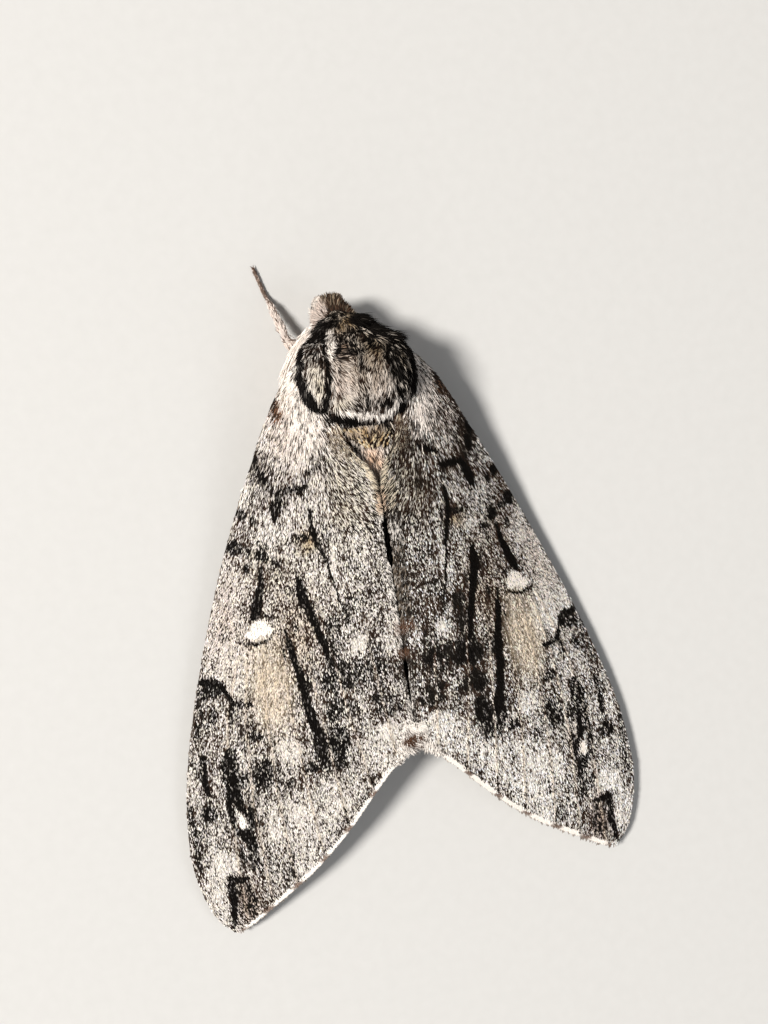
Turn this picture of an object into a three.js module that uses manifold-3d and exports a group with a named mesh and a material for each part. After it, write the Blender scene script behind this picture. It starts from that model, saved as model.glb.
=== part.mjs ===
// A hawk moth (Sphingidae) at rest, life size, in millimetres.
// +Z is up, +Y points past the head and +X to the moth's own right.
// The trunk is one loft parted by thin cuts, and the wings are thin roofs laid over it.
import * as THREE from "three";
import { mergeVertices } from "three/addons/utils/BufferGeometryUtils.js";
import Module from "manifold-3d";

const wasm = await Module();
wasm.setup();

// ---------------------------------------------------------------- driving dimensions
const GAP = 0.3; // clearance between neighbouring pieces
const FRONT_Y = 22.0; // foremost point of the head
const TAIL_Y = -19.6; // tip of the abdomen
const APEX_Y = -33.8; // tip of the forewings
const WING_ROOT_Y = 17.0; // foremost point of the forewings
const FOOT_Y = 26.1; // foremost foot, the left foreleg's
const WING_THICKNESS = 0.6;
const TEGULA_RISE = 0.25; // how far the shoulder pads stand proud of the thorax
const EYE_RADIUS = 1.15;
const ANTENNA_RADIUS = 0.32;
const FAR = 40; // reach of a cutting solid, past everything

// ---------------------------------------------------------------- profiles along the body
// A smooth curve through [y, value] pairs given from front to tail.
function profile(pairs) {
  const points = [...pairs].sort((a, b) => a[0] - b[0]);
  const slope = points.map((p, i) => {
    const before = points[Math.max(i - 1, 0)];
    const after = points[Math.min(i + 1, points.length - 1)];
    return (after[1] - before[1]) / (after[0] - before[0]);
  });
  return (y) => {
    if (y <= points[0][0]) return points[0][1];
    if (y >= points[points.length - 1][0]) return points[points.length - 1][1];
    const i = points.findIndex((p) => p[0] > y) - 1;
    const span = points[i + 1][0] - points[i][0];
    const t = (y - points[i][0]) / span;
    return (
      (1 + 2 * t) * (1 - t) ** 2 * points[i][1] +
      t * (1 - t) ** 2 * span * slope[i] +
      t * t * (3 - 2 * t) * points[i + 1][1] -
      t * t * (1 - t) * span * slope[i + 1]
    );
  };
}

const trunkHalfWidth = profile([
  [22, 1.2], [21, 1.55], [20, 1.85], [19.2, 2.6], [18, 4.15], [16.5, 5.0], [14.8, 5.3],
  [13, 5.1], [11, 4.4], [9, 4.0], [5, 4.1], [0, 3.9], [-5, 3.5], [-10, 2.9], [-15, 2.2], [-19.6, 1.5],
]);
const trunkTop = profile([
  [22, 5.8], [21, 6.5], [20, 7.2], [19.2, 7.8], [18, 9.0], [16.5, 10.0], [14.8, 10.4],
  [13, 10.2], [11.5, 9.6], [10, 8.5], [8, 8.0], [5, 7.9], [0, 7.5], [-5, 6.9], [-10, 6.1],
  [-15, 5.2], [-19.6, 4.2],
]);
const trunkBottom = profile([
  [22, 3.4], [20, 2.8], [18, 1.9], [15, 1.4], [11, 1.3], [5, 1.1], [0, 1.0], [-5, 1.0],
  [-10, 1.1], [-15, 1.5], [-19.6, 2.3],
]);
// The head is turned a little to the moth's left: this is the sideways shift of the midline.
const HEAD_TURN = 0.2;
const NECK_Y = 16.5;
const midline = (y) => -HEAD_TURN * Math.max(0, y - NECK_Y);

const costaX = profile([
  [17, 4.9], [16.3, 5.7], [15.4, 6.4], [14.2, 7.35], [12, 8.6], [9.4, 9.9], [6.2, 11.5], [3, 13.0],
  [-0.4, 14.5], [-6.8, 17.0], [-13.1, 19.15], [-19.6, 20.9], [-25.5, 21.6], [-28.5, 21.4], [-31.2, 20.7],
  [-32.8, 19.9], [-33.8, 18.9],
]);
const costaZ = profile([
  [17, 5.9], [15.4, 5.5], [12, 4.8], [9, 3.9], [6, 3.2], [3, 2.6], [0, 2.1], [-5, 1.75], [-12, 1.55],
  [-33.8, 1.2],
]);
const ridgeZ = profile([
  [17, 9.2], [15.4, 9.4], [11, 9.2], [8, 9.0], [4, 8.8], [0, 8.5], [-5, 8.0], [-10, 7.4], [-15, 6.7],
  [-19.5, 6.0], [-25, 5.1], [-33.8, 3.9],
]);
const ROOF_POWER = 1.6; // 1 is a flat roof; more rounds it towards the costa

// Height of a forewing's upper face. The share runs from 0 over the back to 1 at the costa.
const roofZ = (share, y) => costaZ(y) + (ridgeZ(y) - costaZ(y)) * (1 - share ** ROOF_POWER);

// ---------------------------------------------------------------- solids
// A three.js geometry as a manifold-3d solid.
function solid(geometry) {
  const bare = new THREE.BufferGeometry();
  bare.setAttribute("position", geometry.getAttribute("position").clone());
  if (geometry.index) bare.setIndex(geometry.index.clone());
  const merged = mergeVertices(bare, 1e-4);
  return new wasm.Manifold(
    new wasm.Mesh({
      numProp: 3,
      vertProperties: merged.attributes.position.array,
      triVerts: new Uint32Array(merged.index.array),
    }),
  );
}

function geometryOf(manifold) {
  const mesh = manifold.getMesh();
  const geometry = new THREE.BufferGeometry();
  geometry.setAttribute("position", new THREE.BufferAttribute(new Float32Array(mesh.vertProperties), 3));
  geometry.setIndex(new THREE.BufferAttribute(new Uint32Array(mesh.triVerts), 1));
  geometry.computeVertexNormals();
  return geometry;
}

// Moves every vertex of a geometry to place(x, y, z).
function reshaped(geometry, place) {
  const position = geometry.getAttribute("position");
  for (let i = 0; i < position.count; i++) {
    const p = place(position.getX(i), position.getY(i), position.getZ(i));
    position.setXYZ(i, p.x, p.y, p.z);
  }
  return geometry;
}

// Everything between two planes across Y.
function slab(rear, front) {
  const geometry = new THREE.BoxGeometry(2 * FAR, front - rear, 2 * FAR);
  geometry.translate(0, (rear + front) / 2, 0);
  return solid(geometry);
}

function aboveFloor() {
  const geometry = new THREE.BoxGeometry(2 * FAR, 2 * FAR, FAR);
  geometry.translate(0, 0, FAR / 2);
  return solid(geometry);
}

// An ellipsoid with its own semi-axes, pitched about X and set at a point.
function ellipsoid(centre, radii, pitch = 0, sides = 12, rings = 8) {
  const geometry = new THREE.SphereGeometry(1, sides, rings);
  geometry.scale(radii.x, radii.y, radii.z);
  geometry.rotateX(pitch);
  geometry.translate(centre.x, centre.y, centre.z);
  return solid(geometry);
}

// A round rod along a curve, whose radius follows a function of the share of its length.
function rod(curve, radius, sides, steps) {
  const frames = curve.computeFrenetFrames(steps, false);
  const geometry = new THREE.CylinderGeometry(1, 1, 1, sides, steps);
  reshaped(geometry, (x, y, z) => {
    const share = 0.5 - y;
    const i = Math.round(share * steps);
    return curve
      .getPointAt(share)
      .addScaledVector(frames.normals[i], x * radius(share))
      .addScaledVector(frames.binormals[i], z * radius(share));
  });
  const made = solid(geometry);
  return made.volume() < 0 ? solid(flipped(geometry)) : made;
}

function flipped(geometry) {
  const index = geometry.index.array;
  for (let i = 0; i < index.length; i += 3) [index[i + 1], index[i + 2]] = [index[i + 2], index[i + 1]];
  return geometry;
}

const V = (x, y, z) => new THREE.Vector3(x, y, z);
const mirrored = (manifold) => manifold.mirror([1, 0, 0]);

// ---------------------------------------------------------------- trunk
const FRONT_ROUNDING = 0.045; // share of the trunk's length over which the face closes
const TAIL_ROUNDING = 0.11; // and the tail
const BLUNTNESS = 0.55; // under 1 squares off the rounding of the two ends

// The trunk from head to tail, grown outwards by a margin.
function trunk(grow) {
  const geometry = new THREE.SphereGeometry(1, 20, 34);
  const length = FRONT_Y - TAIL_Y;
  reshaped(geometry, (x, y, z) => {
    const share = Math.acos(Math.min(1, Math.max(-1, y))) / Math.PI;
    const at = FRONT_Y - share * length;
    const round = Math.hypot(x, z);
    const end = Math.min(1, share / FRONT_ROUNDING, (1 - share) / TAIL_ROUNDING) ** BLUNTNESS;
    const [cos, sin] = round > 1e-6 ? [x / round, z / round] : [0, 0];
    const middle = (trunkTop(at) + trunkBottom(at)) / 2;
    const half = (trunkTop(at) - trunkBottom(at)) / 2;
    const stretched = at + (grow * (1 - 2 * share)) * (end < 1 ? 1 : 0);
    return V(
      midline(at) + (trunkHalfWidth(at) + grow) * end * cos,
      stretched,
      middle + (half + grow) * end * sin,
    );
  });
  return solid(geometry);
}

// Section planes from front to rear, with the piece that lies in front of each.
const HEAD_CUT = 19.35;
const COLLAR_CUT = 18.0;
const THORAX_CUT = 11.2;
const METATHORAX_CUT = 8.8;
const ABDOMEN_SEGMENTS = 7;

function between(whole, front, rear) {
  return whole.intersect(slab(rear + GAP / 2, front - GAP / 2));
}

// ---------------------------------------------------------------- shoulder pads (tegulae)
const TEGULA = { x: 4.4, y: 15.2, halfWidth: 1.85, halfLength: 3.2, lean: 0.1, floorZ: 6.0 };

// The upright elliptic column that parts the right pad from the thorax.
function tegulaColumn(grow) {
  const height = FAR - TEGULA.floorZ + grow;
  const geometry = new THREE.CylinderGeometry(1, 1, height, 18);
  geometry.rotateX(Math.PI / 2);
  geometry.scale(TEGULA.halfWidth + grow, TEGULA.halfLength + grow, 1);
  geometry.rotateZ(TEGULA.lean);
  geometry.translate(TEGULA.x, TEGULA.y, FAR - height / 2);
  return solid(geometry);
}

// ---------------------------------------------------------------- head pieces
const EYE = V(1.15, 20.35, 3.9);
const PALP = { centre: V(0.95, 21.5, 3.5), radii: V(0.55, 0.6, 1.6), pitch: -0.7 };

function eye(side, grow) {
  const y = EYE.y;
  return ellipsoid(
    V(midline(y) + side * EYE.x, y, EYE.z),
    V(EYE_RADIUS * 0.92 + grow, EYE_RADIUS + grow, EYE_RADIUS * 1.08 + grow),
    0, 12, 8,
  );
}

function palp(side, grow) {
  const c = PALP.centre;
  const radii = PALP.radii.clone().addScalar(grow);
  return ellipsoid(V(midline(c.y) + side * c.x, c.y, c.z), radii, PALP.pitch, 10, 8);
}

// The coiled tongue, a flat spiral under the face between the palps.
const COIL = { y: 21.1, z: 1.85, inner: 0.34, outer: 0.98, turns: 1.08, radius: 0.25 };

class Spiral extends THREE.Curve {
  getPoint(share, target = new THREE.Vector3()) {
    const angle = 2 * Math.PI * COIL.turns * share;
    const reach = COIL.inner + (COIL.outer - COIL.inner) * share;
    return target.set(midline(COIL.y), COIL.y + reach * Math.cos(angle), COIL.z + reach * Math.sin(angle));
  }
}

// An antenna laid back from above the eye, down past the collar and under the front edge of the wing.
const ANTENNA_PATH = [
  [2.0, 21.1, 5.5], [2.4, 20.2, 5.2], [3.0, 19.4, 4.75], [3.9, 18.6, 4.3], [4.5, 17.9, 3.8],
  [5.4, 16.2, 3.4], [6.5, 13.4, 3.3], [7.9, 9.8, 2.75], [9.2, 5.8, 2.0], [10.1, 2.6, 1.45],
  [10.2, 1.3, 1.15],
];

// It thickens a little along its length and ends in a short hook.
function antenna(side) {
  const path = ANTENNA_PATH.map(([x, y, z]) => V(side * x + midline(y), y, z));
  const radius = (share) => ANTENNA_RADIUS * (share < 0.9 ? 0.85 + 0.25 * share : 0.8 + 2.75 * (1 - share));
  return rod(new THREE.CatmullRomCurve3(path), radius, 6, 20);
}

// ---------------------------------------------------------------- wings
const FOREWING = {
  frontY: WING_ROOT_Y,
  rearY: APEX_Y,
  inner: profile([
    [17, 3.6], [15.4, 4.2], [13, 4.2], [11, 3.4], [9, 2.1], [7, 1.2], [4, 0.55], [0, 0.35], [-10, 0.3],
    [-17.5, 0.4], [-19.5, 1.5], [-21.9, 3.75], [-26, 7.5], [-29.1, 11.0], [-31.4, 14.4], [-33.1, 17.0],
    [-33.8, 18.2],
  ]),
  outer: costaX,
};

// The hindwing is folded out of sight under the forewing.
const HINDWING = {
  frontY: 11.5,
  rearY: -18,
  inner: profile([[11.5, 5.6], [5, 4.9], [-3, 4.4], [-11, 4.3], [-14.5, 5.2], [-17, 8.2], [-18, 11.2]]),
  outer: profile([[11.5, 6.4], [8, 8.2], [1, 11.1], [-7, 13.4], [-13, 14.5], [-16.5, 13.9], [-18, 12.4]]),
};

// A thin wing lofted over its plan, its upper face a drop below the roof.
function wing(plan, drop, thickness, along, across) {
  const geometry = new THREE.BoxGeometry(1, 1, 1, across, along, 1);
  reshaped(geometry, (a, b, c) => {
    const run = (1 - Math.cos(Math.PI * (0.5 - b))) / 2;
    const y = plan.frontY + run * (plan.rearY - plan.frontY);
    const x = plan.inner(y) + (a + 0.5) * (plan.outer(y) - plan.inner(y));
    return V(x, y, roofZ(x / costaX(y), y) - drop - (0.5 - c) * thickness);
  });
  return solid(geometry);
}

// ---------------------------------------------------------------- legs
const TARSUS_Z = 0.19; // height of a foot's middle, so that its underside is cut flat
const femurRadius = (share) => 0.58 - 0.2 * share;
const tibiaRadius = (share) => 0.4 + 0.08 * Math.sin(Math.PI * share) - 0.1 * share;
const tarsusRadius = (share) => 0.3 - 0.04 * share;

// Hip, knee, ankle and toe of each leg: the foot lies on the floor from ankle to toe.
const LEGS = {
  fore_left: [[-2.5, 18.2, 2.0], [-5.0, 18.9, 2.6], [-5.8, 22.6, 1.0], [-6.7, FOOT_Y, TARSUS_Z]],
  fore_right: [[2.6, 17.6, 2.1], [4.4, 16.9, 2.6], [5.9, 15.2, 1.1], [7.0, 11.7, TARSUS_Z]],
};
for (const [name, side] of [["left", -1], ["right", 1]]) {
  const placed = (...joints) => joints.map(([x, y, z]) => [side * x, y, z]);
  LEGS[`mid_${name}`] = placed([3.6, 14.0, 1.8], [6.2, 12.0, 2.1], [7.6, 6.4, 0.95], [9.0, 0.9, TARSUS_Z]);
  LEGS[`hind_${name}`] = placed([3.2, 10.2, 1.4], [5.5, 6.2, 1.9], [6.6, -1.2, 0.95], [7.4, -8, TARSUS_Z]);
}

function limb(from, to, radius, grow, steps) {
  const way = to.clone().sub(from).normalize();
  const curve = new THREE.CatmullRomCurve3([
    from.clone().addScaledVector(way, -grow),
    from.clone().lerp(to, 0.5),
    to.clone().addScaledVector(way, grow),
  ]);
  return rod(curve, (share) => radius(share) + grow, 8, steps);
}

// A foot comes down from the ankle in the first quarter of its length, then lies flat.
function foot(ankle, toe, grow) {
  const heel = V(ankle.x, ankle.y, toe.z);
  const along = (share, rise) => heel.clone().lerp(toe, share).add(V(0, 0, rise));
  const curve = new THREE.CatmullRomCurve3([ankle, along(0.25, 0.12), along(0.5, 0), along(0.75, 0), toe]);
  return rod(curve, (share) => tarsusRadius(share) + grow, 8, 8);
}

function leg(joints) {
  const [hip, knee, ankle, toe] = joints.map((p) => V(...p));
  const tarsus = foot(ankle, toe, 0).intersect(aboveFloor());
  const tibia = limb(knee, ankle, tibiaRadius, 0, 4).subtract(foot(ankle, toe, GAP));
  const femur = limb(hip, knee, femurRadius, 0, 3).subtract(limb(knee, ankle, tibiaRadius, GAP, 4));
  return { femur, tibia, tarsus };
}

// ---------------------------------------------------------------- materials
const MATERIALS = {
  coat: new THREE.MeshStandardMaterial({ color: 0x8b8079, roughness: 0.85, metalness: 0 }),
  wing: new THREE.MeshStandardMaterial({ color: 0x9a928a, roughness: 0.8, metalness: 0 }),
  hindwing: new THREE.MeshStandardMaterial({ color: 0x6b625b, roughness: 0.8, metalness: 0 }),
  eye: new THREE.MeshStandardMaterial({ color: 0x1d120c, roughness: 0.2, metalness: 0 }),
  feeler: new THREE.MeshStandardMaterial({ color: 0xb9aea2, roughness: 0.7, metalness: 0 }),
  leg: new THREE.MeshStandardMaterial({ color: 0xb39d92, roughness: 0.8, metalness: 0 }),
  tongue: new THREE.MeshStandardMaterial({ color: 0x4a2a18, roughness: 0.4, metalness: 0 }),
};

const moth = new THREE.Group();

// Adds the largest body of a solid as a named mesh: a trim can leave crumbs.
function add(name, manifold, material) {
  const bodies = manifold.decompose().sort((a, b) => b.volume() - a.volume());
  const mesh = new THREE.Mesh(geometryOf(bodies[0]), MATERIALS[material]);
  mesh.name = name;
  moth.add(mesh);
}

// ---------------------------------------------------------------- assembly
function addTrunk() {
  const whole = trunk(0);
  const proud = trunk(TEGULA_RISE);
  const wells = tegulaColumn(GAP).add(mirrored(tegulaColumn(GAP)));
  const eyes = eye(-1, GAP).add(eye(1, GAP));
  const palps = palp(-1, GAP).add(palp(1, GAP));
  add("head", between(whole, FRONT_Y + 2, HEAD_CUT).subtract(eyes).subtract(palps), "coat");
  add("collar", between(whole, HEAD_CUT, COLLAR_CUT).subtract(wells).subtract(eyes), "coat");
  add("thorax", between(whole, COLLAR_CUT, THORAX_CUT).subtract(wells), "coat");
  const pad = between(proud, HEAD_CUT, THORAX_CUT).intersect(tegulaColumn(0));
  add("tegula_right", pad, "coat");
  add("tegula_left", mirrored(pad), "coat");
  add("metathorax", between(whole, THORAX_CUT, METATHORAX_CUT), "coat");
  const step = (METATHORAX_CUT - TAIL_Y) / ABDOMEN_SEGMENTS;
  for (let i = 0; i < ABDOMEN_SEGMENTS; i++) {
    const front = METATHORAX_CUT - i * step;
    const rear = i === ABDOMEN_SEGMENTS - 1 ? TAIL_Y - 2 : front - step;
    add(`abdomen_${i + 1}`, between(whole, front, rear), "coat");
  }
}

function addHeadPieces() {
  for (const [name, side] of [["left", -1], ["right", 1]]) {
    add(`eye_${name}`, eye(side, 0), "eye");
    add(`palp_${name}`, palp(side, 0).subtract(eye(side, GAP)), "coat");
    add(`antenna_${name}`, antenna(side).subtract(eye(side, GAP)).subtract(trunk(GAP)), "feeler");
  }
  const apart = palp(-1, GAP / 2).add(palp(1, GAP / 2)).add(trunk(GAP / 2));
  add("proboscis", rod(new Spiral(), () => COIL.radius, 6, 20).subtract(apart), "tongue");
}

function addWings() {
  const room = trunk(GAP).add(tegulaColumn(GAP).intersect(trunk(GAP + TEGULA_RISE)));
  const fore = wing(FOREWING, 0, WING_THICKNESS, 26, 6).subtract(room);
  const hind = wing(HINDWING, WING_THICKNESS + GAP, WING_THICKNESS - 0.1, 14, 4).subtract(room);
  add("forewing_right", fore, "wing");
  add("forewing_left", mirrored(fore), "wing");
  add("hindwing_right", hind, "hindwing");
  add("hindwing_left", mirrored(hind), "hindwing");
}

function addLegs() {
  const body = trunk(GAP);
  for (const [name, joints] of Object.entries(LEGS)) {
    const { femur, tibia, tarsus } = leg(joints);
    add(`femur_${name}`, femur.subtract(body), "leg");
    add(`tibia_${name}`, tibia.subtract(body), "leg");
    add(`tarsus_${name}`, tarsus, "leg");
  }
}

addTrunk();
addHeadPieces();
addWings();
addLegs();

// The origin is under the middle of the whole moth, at the level that its feet stand on.
moth.position.y = -(FOOT_Y + APEX_Y) / 2;

export default moth;
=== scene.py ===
"""A grey hawk moth at rest: skin, scales, hair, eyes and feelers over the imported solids.

Shapes are worked out in millimetres, with X to the moth's right, Y past its head and Z up.
placed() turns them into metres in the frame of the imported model.
"""
import math

import bpy
import numpy as np
from mathutils import Matrix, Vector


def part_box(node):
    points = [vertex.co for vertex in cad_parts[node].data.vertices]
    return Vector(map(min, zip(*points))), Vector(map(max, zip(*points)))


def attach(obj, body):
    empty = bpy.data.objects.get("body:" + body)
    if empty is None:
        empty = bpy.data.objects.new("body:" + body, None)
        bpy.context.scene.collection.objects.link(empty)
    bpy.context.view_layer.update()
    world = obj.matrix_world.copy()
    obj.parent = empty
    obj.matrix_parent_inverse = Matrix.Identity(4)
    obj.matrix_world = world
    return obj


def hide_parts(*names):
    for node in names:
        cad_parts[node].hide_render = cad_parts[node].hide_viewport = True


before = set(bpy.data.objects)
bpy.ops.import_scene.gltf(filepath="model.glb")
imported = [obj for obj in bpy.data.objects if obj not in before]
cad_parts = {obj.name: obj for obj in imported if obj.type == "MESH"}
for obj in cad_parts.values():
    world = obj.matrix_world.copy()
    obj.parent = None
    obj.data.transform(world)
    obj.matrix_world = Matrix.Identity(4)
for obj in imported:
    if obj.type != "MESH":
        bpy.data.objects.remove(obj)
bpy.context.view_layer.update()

# ------------------------------------------------------------------ driving dimensions
MM = 0.001
APEX_Y = -33.8  # tip of the forewings
TAIL_Y = -19.6
FRONT_Y = 22.0
SHIFT_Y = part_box("forewing_right")[0].y / MM - APEX_Y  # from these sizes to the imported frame
SIDES = {"left": -1, "right": 1}


def placed(points):
    return (np.asarray(points, float) + (0, SHIFT_Y, 0)) * MM


# ------------------------------------------------------------------ curves and noise
def profile(*pairs):
    """A smooth curve through (y, value) pairs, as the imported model's outlines are drawn."""
    points = np.array(sorted(pairs), float)
    at, value = points[:, 0], points[:, 1]
    before = np.maximum(np.arange(len(at)) - 1, 0)
    after = np.minimum(np.arange(len(at)) + 1, len(at) - 1)
    slope = (value[after] - value[before]) / (at[after] - at[before])

    def curve(y):
        y = np.clip(np.asarray(y, float), at[0], at[-1])
        i = np.clip(np.searchsorted(at, y, side="right") - 1, 0, len(at) - 2)
        span = at[i + 1] - at[i]
        t = (y - at[i]) / span
        start = (1 + 2 * t) * (1 - t) ** 2 * value[i] + t * (1 - t) ** 2 * span * slope[i]
        end = t * t * (3 - 2 * t) * value[i + 1] - t * t * (1 - t) * span * slope[i + 1]
        return start + end

    return curve


def smooth(t):
    t = np.clip(t, 0, 1)
    return t * t * (3 - 2 * t)


def rise(value, start, width):
    """0 up to the start, then smoothly up to 1 over the width."""
    return smooth((value - start) / width)


def fall(value, end, width):
    """Smoothly down to 0 at the end, from 1 one width before it."""
    return smooth((end - value) / width)


def within(value, start, end, up_width, down_width):
    return rise(value, start, up_width) * fall(value, end, down_width)


def peak(value, middle, half_width):
    return smooth(1 - np.abs(value - middle) / half_width)


LATTICE = 64


def noise(seed, *axes):
    """Smooth noise from 0 to 1 over two or three coordinates, one lattice cell per unit."""
    table = np.random.default_rng(seed).random((LATTICE,) * len(axes))
    cells = [np.floor(a).astype(int) for a in axes]
    parts = [smooth(a - c) for a, c in zip(axes, cells)]
    total = 0
    for corner in np.ndindex((2,) * len(axes)):
        weight = 1
        for step, part in zip(corner, parts):
            weight = weight * (part if step else 1 - part)
        total = total + weight * table[tuple((c + s) % LATTICE for c, s in zip(cells, corner))]
    return total


def draws(rng, count):
    """A function that draws so many numbers between two limits."""
    return lambda low=0.0, high=1.0: rng.uniform(low, high, count)


def dice(seed, count):
    rng = np.random.default_rng(seed)
    return rng, draws(rng, count)


def evenly(values):
    """The same order of values, spread evenly from 0 to 1."""
    ranks = np.empty(len(values))
    ranks[np.argsort(values)] = np.arange(len(values))
    return ranks / len(values)


def vectors(*parts):
    """Vectors from their parts, each a number or an array."""
    return np.stack(np.broadcast_arrays(*parts), axis=-1)


def unit(directions):
    return directions / np.maximum(np.linalg.norm(directions, axis=-1, keepdims=True), 1e-12)


def along_skin(lie, normal):
    """The part of each direction that runs along the skin."""
    return unit(lie - normal * np.sum(lie * normal, axis=1, keepdims=True))


def moved(x, y, lie, length):
    return x + lie[:, 0] * length, y + lie[:, 1] * length


# ------------------------------------------------------------------ outlines
trunk_half_width = profile(
    (22, 1.2), (21, 1.55), (20, 1.85), (19.2, 2.6), (18, 4.15), (16.5, 5.0), (14.8, 5.3),
    (13, 5.1), (11, 4.4), (9, 4.0), (5, 4.1), (0, 3.9), (-5, 3.5), (-10, 2.9), (-15, 2.2), (-19.6, 1.5),
)
trunk_top = profile(
    (22, 5.8), (21, 6.5), (20, 7.2), (19.2, 7.8), (18, 9.0), (16.5, 10.0), (14.8, 10.4),
    (13, 10.2), (11.5, 9.6), (10, 8.5), (8, 8.0), (5, 7.9), (0, 7.5), (-5, 6.9), (-10, 6.1),
    (-15, 5.2), (-19.6, 4.2),
)
trunk_bottom = profile(
    (22, 3.4), (20, 2.8), (18, 1.9), (15, 1.4), (11, 1.3), (5, 1.1), (0, 1.0), (-5, 1.0),
    (-10, 1.1), (-15, 1.5), (-19.6, 2.3),
)
costa_x = profile(
    (17, 4.9), (16.3, 5.7), (15.4, 6.4), (14.2, 7.35), (12, 8.6), (9.4, 9.9), (6.2, 11.5), (3, 13.0),
    (-0.4, 14.5), (-6.8, 17.0), (-13.1, 19.15), (-19.6, 20.9), (-25.5, 21.6), (-28.5, 21.4),
    (-31.2, 20.7), (-32.8, 19.9), (-33.8, 18.9),
)
costa_z = profile(
    (17, 5.9), (15.4, 5.5), (12, 4.8), (9, 3.9), (6, 3.2), (3, 2.6), (0, 2.1), (-5, 1.75),
    (-12, 1.55), (-33.8, 1.2),
)
ridge_z = profile(
    (17, 9.2), (15.4, 9.4), (11, 9.2), (8, 9.0), (4, 8.8), (0, 8.5), (-5, 8.0), (-10, 7.4),
    (-15, 6.7), (-19.5, 6.0), (-25, 5.1), (-33.8, 3.9),
)
fore_inner = profile(
    (17, 3.6), (15.4, 4.2), (13, 4.2), (11, 3.4), (9, 2.1), (7, 1.2), (4, 0.55), (0, 0.35),
    (-10, 0.3), (-17.5, 0.4), (-19.5, 1.5), (-21.9, 3.75), (-26, 7.5), (-29.1, 11.0),
    (-31.4, 14.4), (-33.1, 17.0), (-33.8, 18.2),
)
hind_inner = profile(
    (11.5, 5.6), (5, 4.9), (-3, 4.4), (-11, 4.3), (-14.5, 5.2), (-17, 8.2), (-18, 11.2),
)
hind_outer = profile(
    (11.5, 6.4), (8, 8.2), (1, 11.1), (-7, 13.4), (-13, 14.5), (-16.5, 13.9), (-18, 12.4),
)
COAT_DEPTH = profile((22, 0.25), (19.5, 0.3), (18, 0.4), (12, 0.42), (9, 0.25), (-19.6, 0.18))
# Height at which the pale flanks give way to the marks of the back.
flank_z = profile(
    (22, 4.6), (20, 4.6), (18, 4.6), (16, 4.8), (13, 5.0), (10, 5.4), (5, 5.6), (-5, 4.8), (-19.6, 2.8),
)
ROOF_POWER = 1.6
HEAD_TURN = 0.2
NECK_Y = 16.5


def midline(y):
    """The head is turned a little to the left: the sideways shift of the middle of the body."""
    return -HEAD_TURN * np.maximum(0, y - NECK_Y)


def roof_z(x, y):
    """Height of the roof that the folded forewings make."""
    share = np.clip(np.abs(x) / costa_x(y), 0, 1.1)
    return costa_z(y) + (ridge_z(y) - costa_z(y)) * (1 - share ** ROOF_POWER)


def trunk_section(y, depth=0.0):
    """Middle height, half width and half height of the trunk, within a coat of some depth."""
    top, bottom = trunk_top(y), trunk_bottom(y)
    return (top + bottom) / 2, trunk_half_width(y) - depth, (top - bottom) / 2 - depth


# ------------------------------------------------------------------ making pieces
UP = np.array((0.0, 0.0, 1.0))


def added(name, data):
    """A new object in the scene."""
    thing = bpy.data.objects.new(name, data)
    bpy.context.scene.collection.objects.link(thing)
    return thing


def mesh_piece(name, vertices, faces, material, colours=None, smooth_faces=True):
    """A piece from arrays in millimetres, with one colour for each vertex."""
    mesh = bpy.data.meshes.new(name)
    faces = np.asarray(faces, np.int32)
    mesh.vertices.add(len(vertices))
    mesh.vertices.foreach_set("co", placed(vertices).astype(np.float32).ravel())
    mesh.loops.add(faces.size)
    mesh.loops.foreach_set("vertex_index", faces.ravel())
    mesh.polygons.add(len(faces))
    mesh.polygons.foreach_set("loop_start", np.arange(0, faces.size, faces.shape[1], dtype=np.int32))
    mesh.polygons.foreach_set("use_smooth", np.full(len(faces), smooth_faces))
    mesh.update(calc_edges=True)
    if colours is not None:
        layer = mesh.color_attributes.new("Tint", "FLOAT_COLOR", "POINT")
        rgba = np.ones((len(vertices), 4), np.float32)
        rgba[:, :3] = colours
        layer.data.foreach_set("color", rgba.ravel())
    mesh.materials.append(material)
    piece = added(name, mesh)
    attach(piece, "root")
    return piece


# A scale is a thin closed kite with a crease on top; a hair is a thin closed spindle, bent once.
KITE_FACES = np.array([(0, 3, 1), (0, 1, 2), (0, 2, 3), (1, 3, 2)])
HAIR_FACES = np.array([(0, 3, 4), (0, 4, 2), (1, 4, 3), (1, 2, 4), (0, 2, 3), (1, 3, 2)])
PATCH = 0.003  # width of one tuft's patch of the OFBake map
PATCH_SHAPE = PATCH * np.array([(0, -0.5), (0, 0.5), (-0.5, 0.1), (0.5, 0.1), (0, 0.1)])
WIDEST = 0.55  # where along a tuft it is widest


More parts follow.
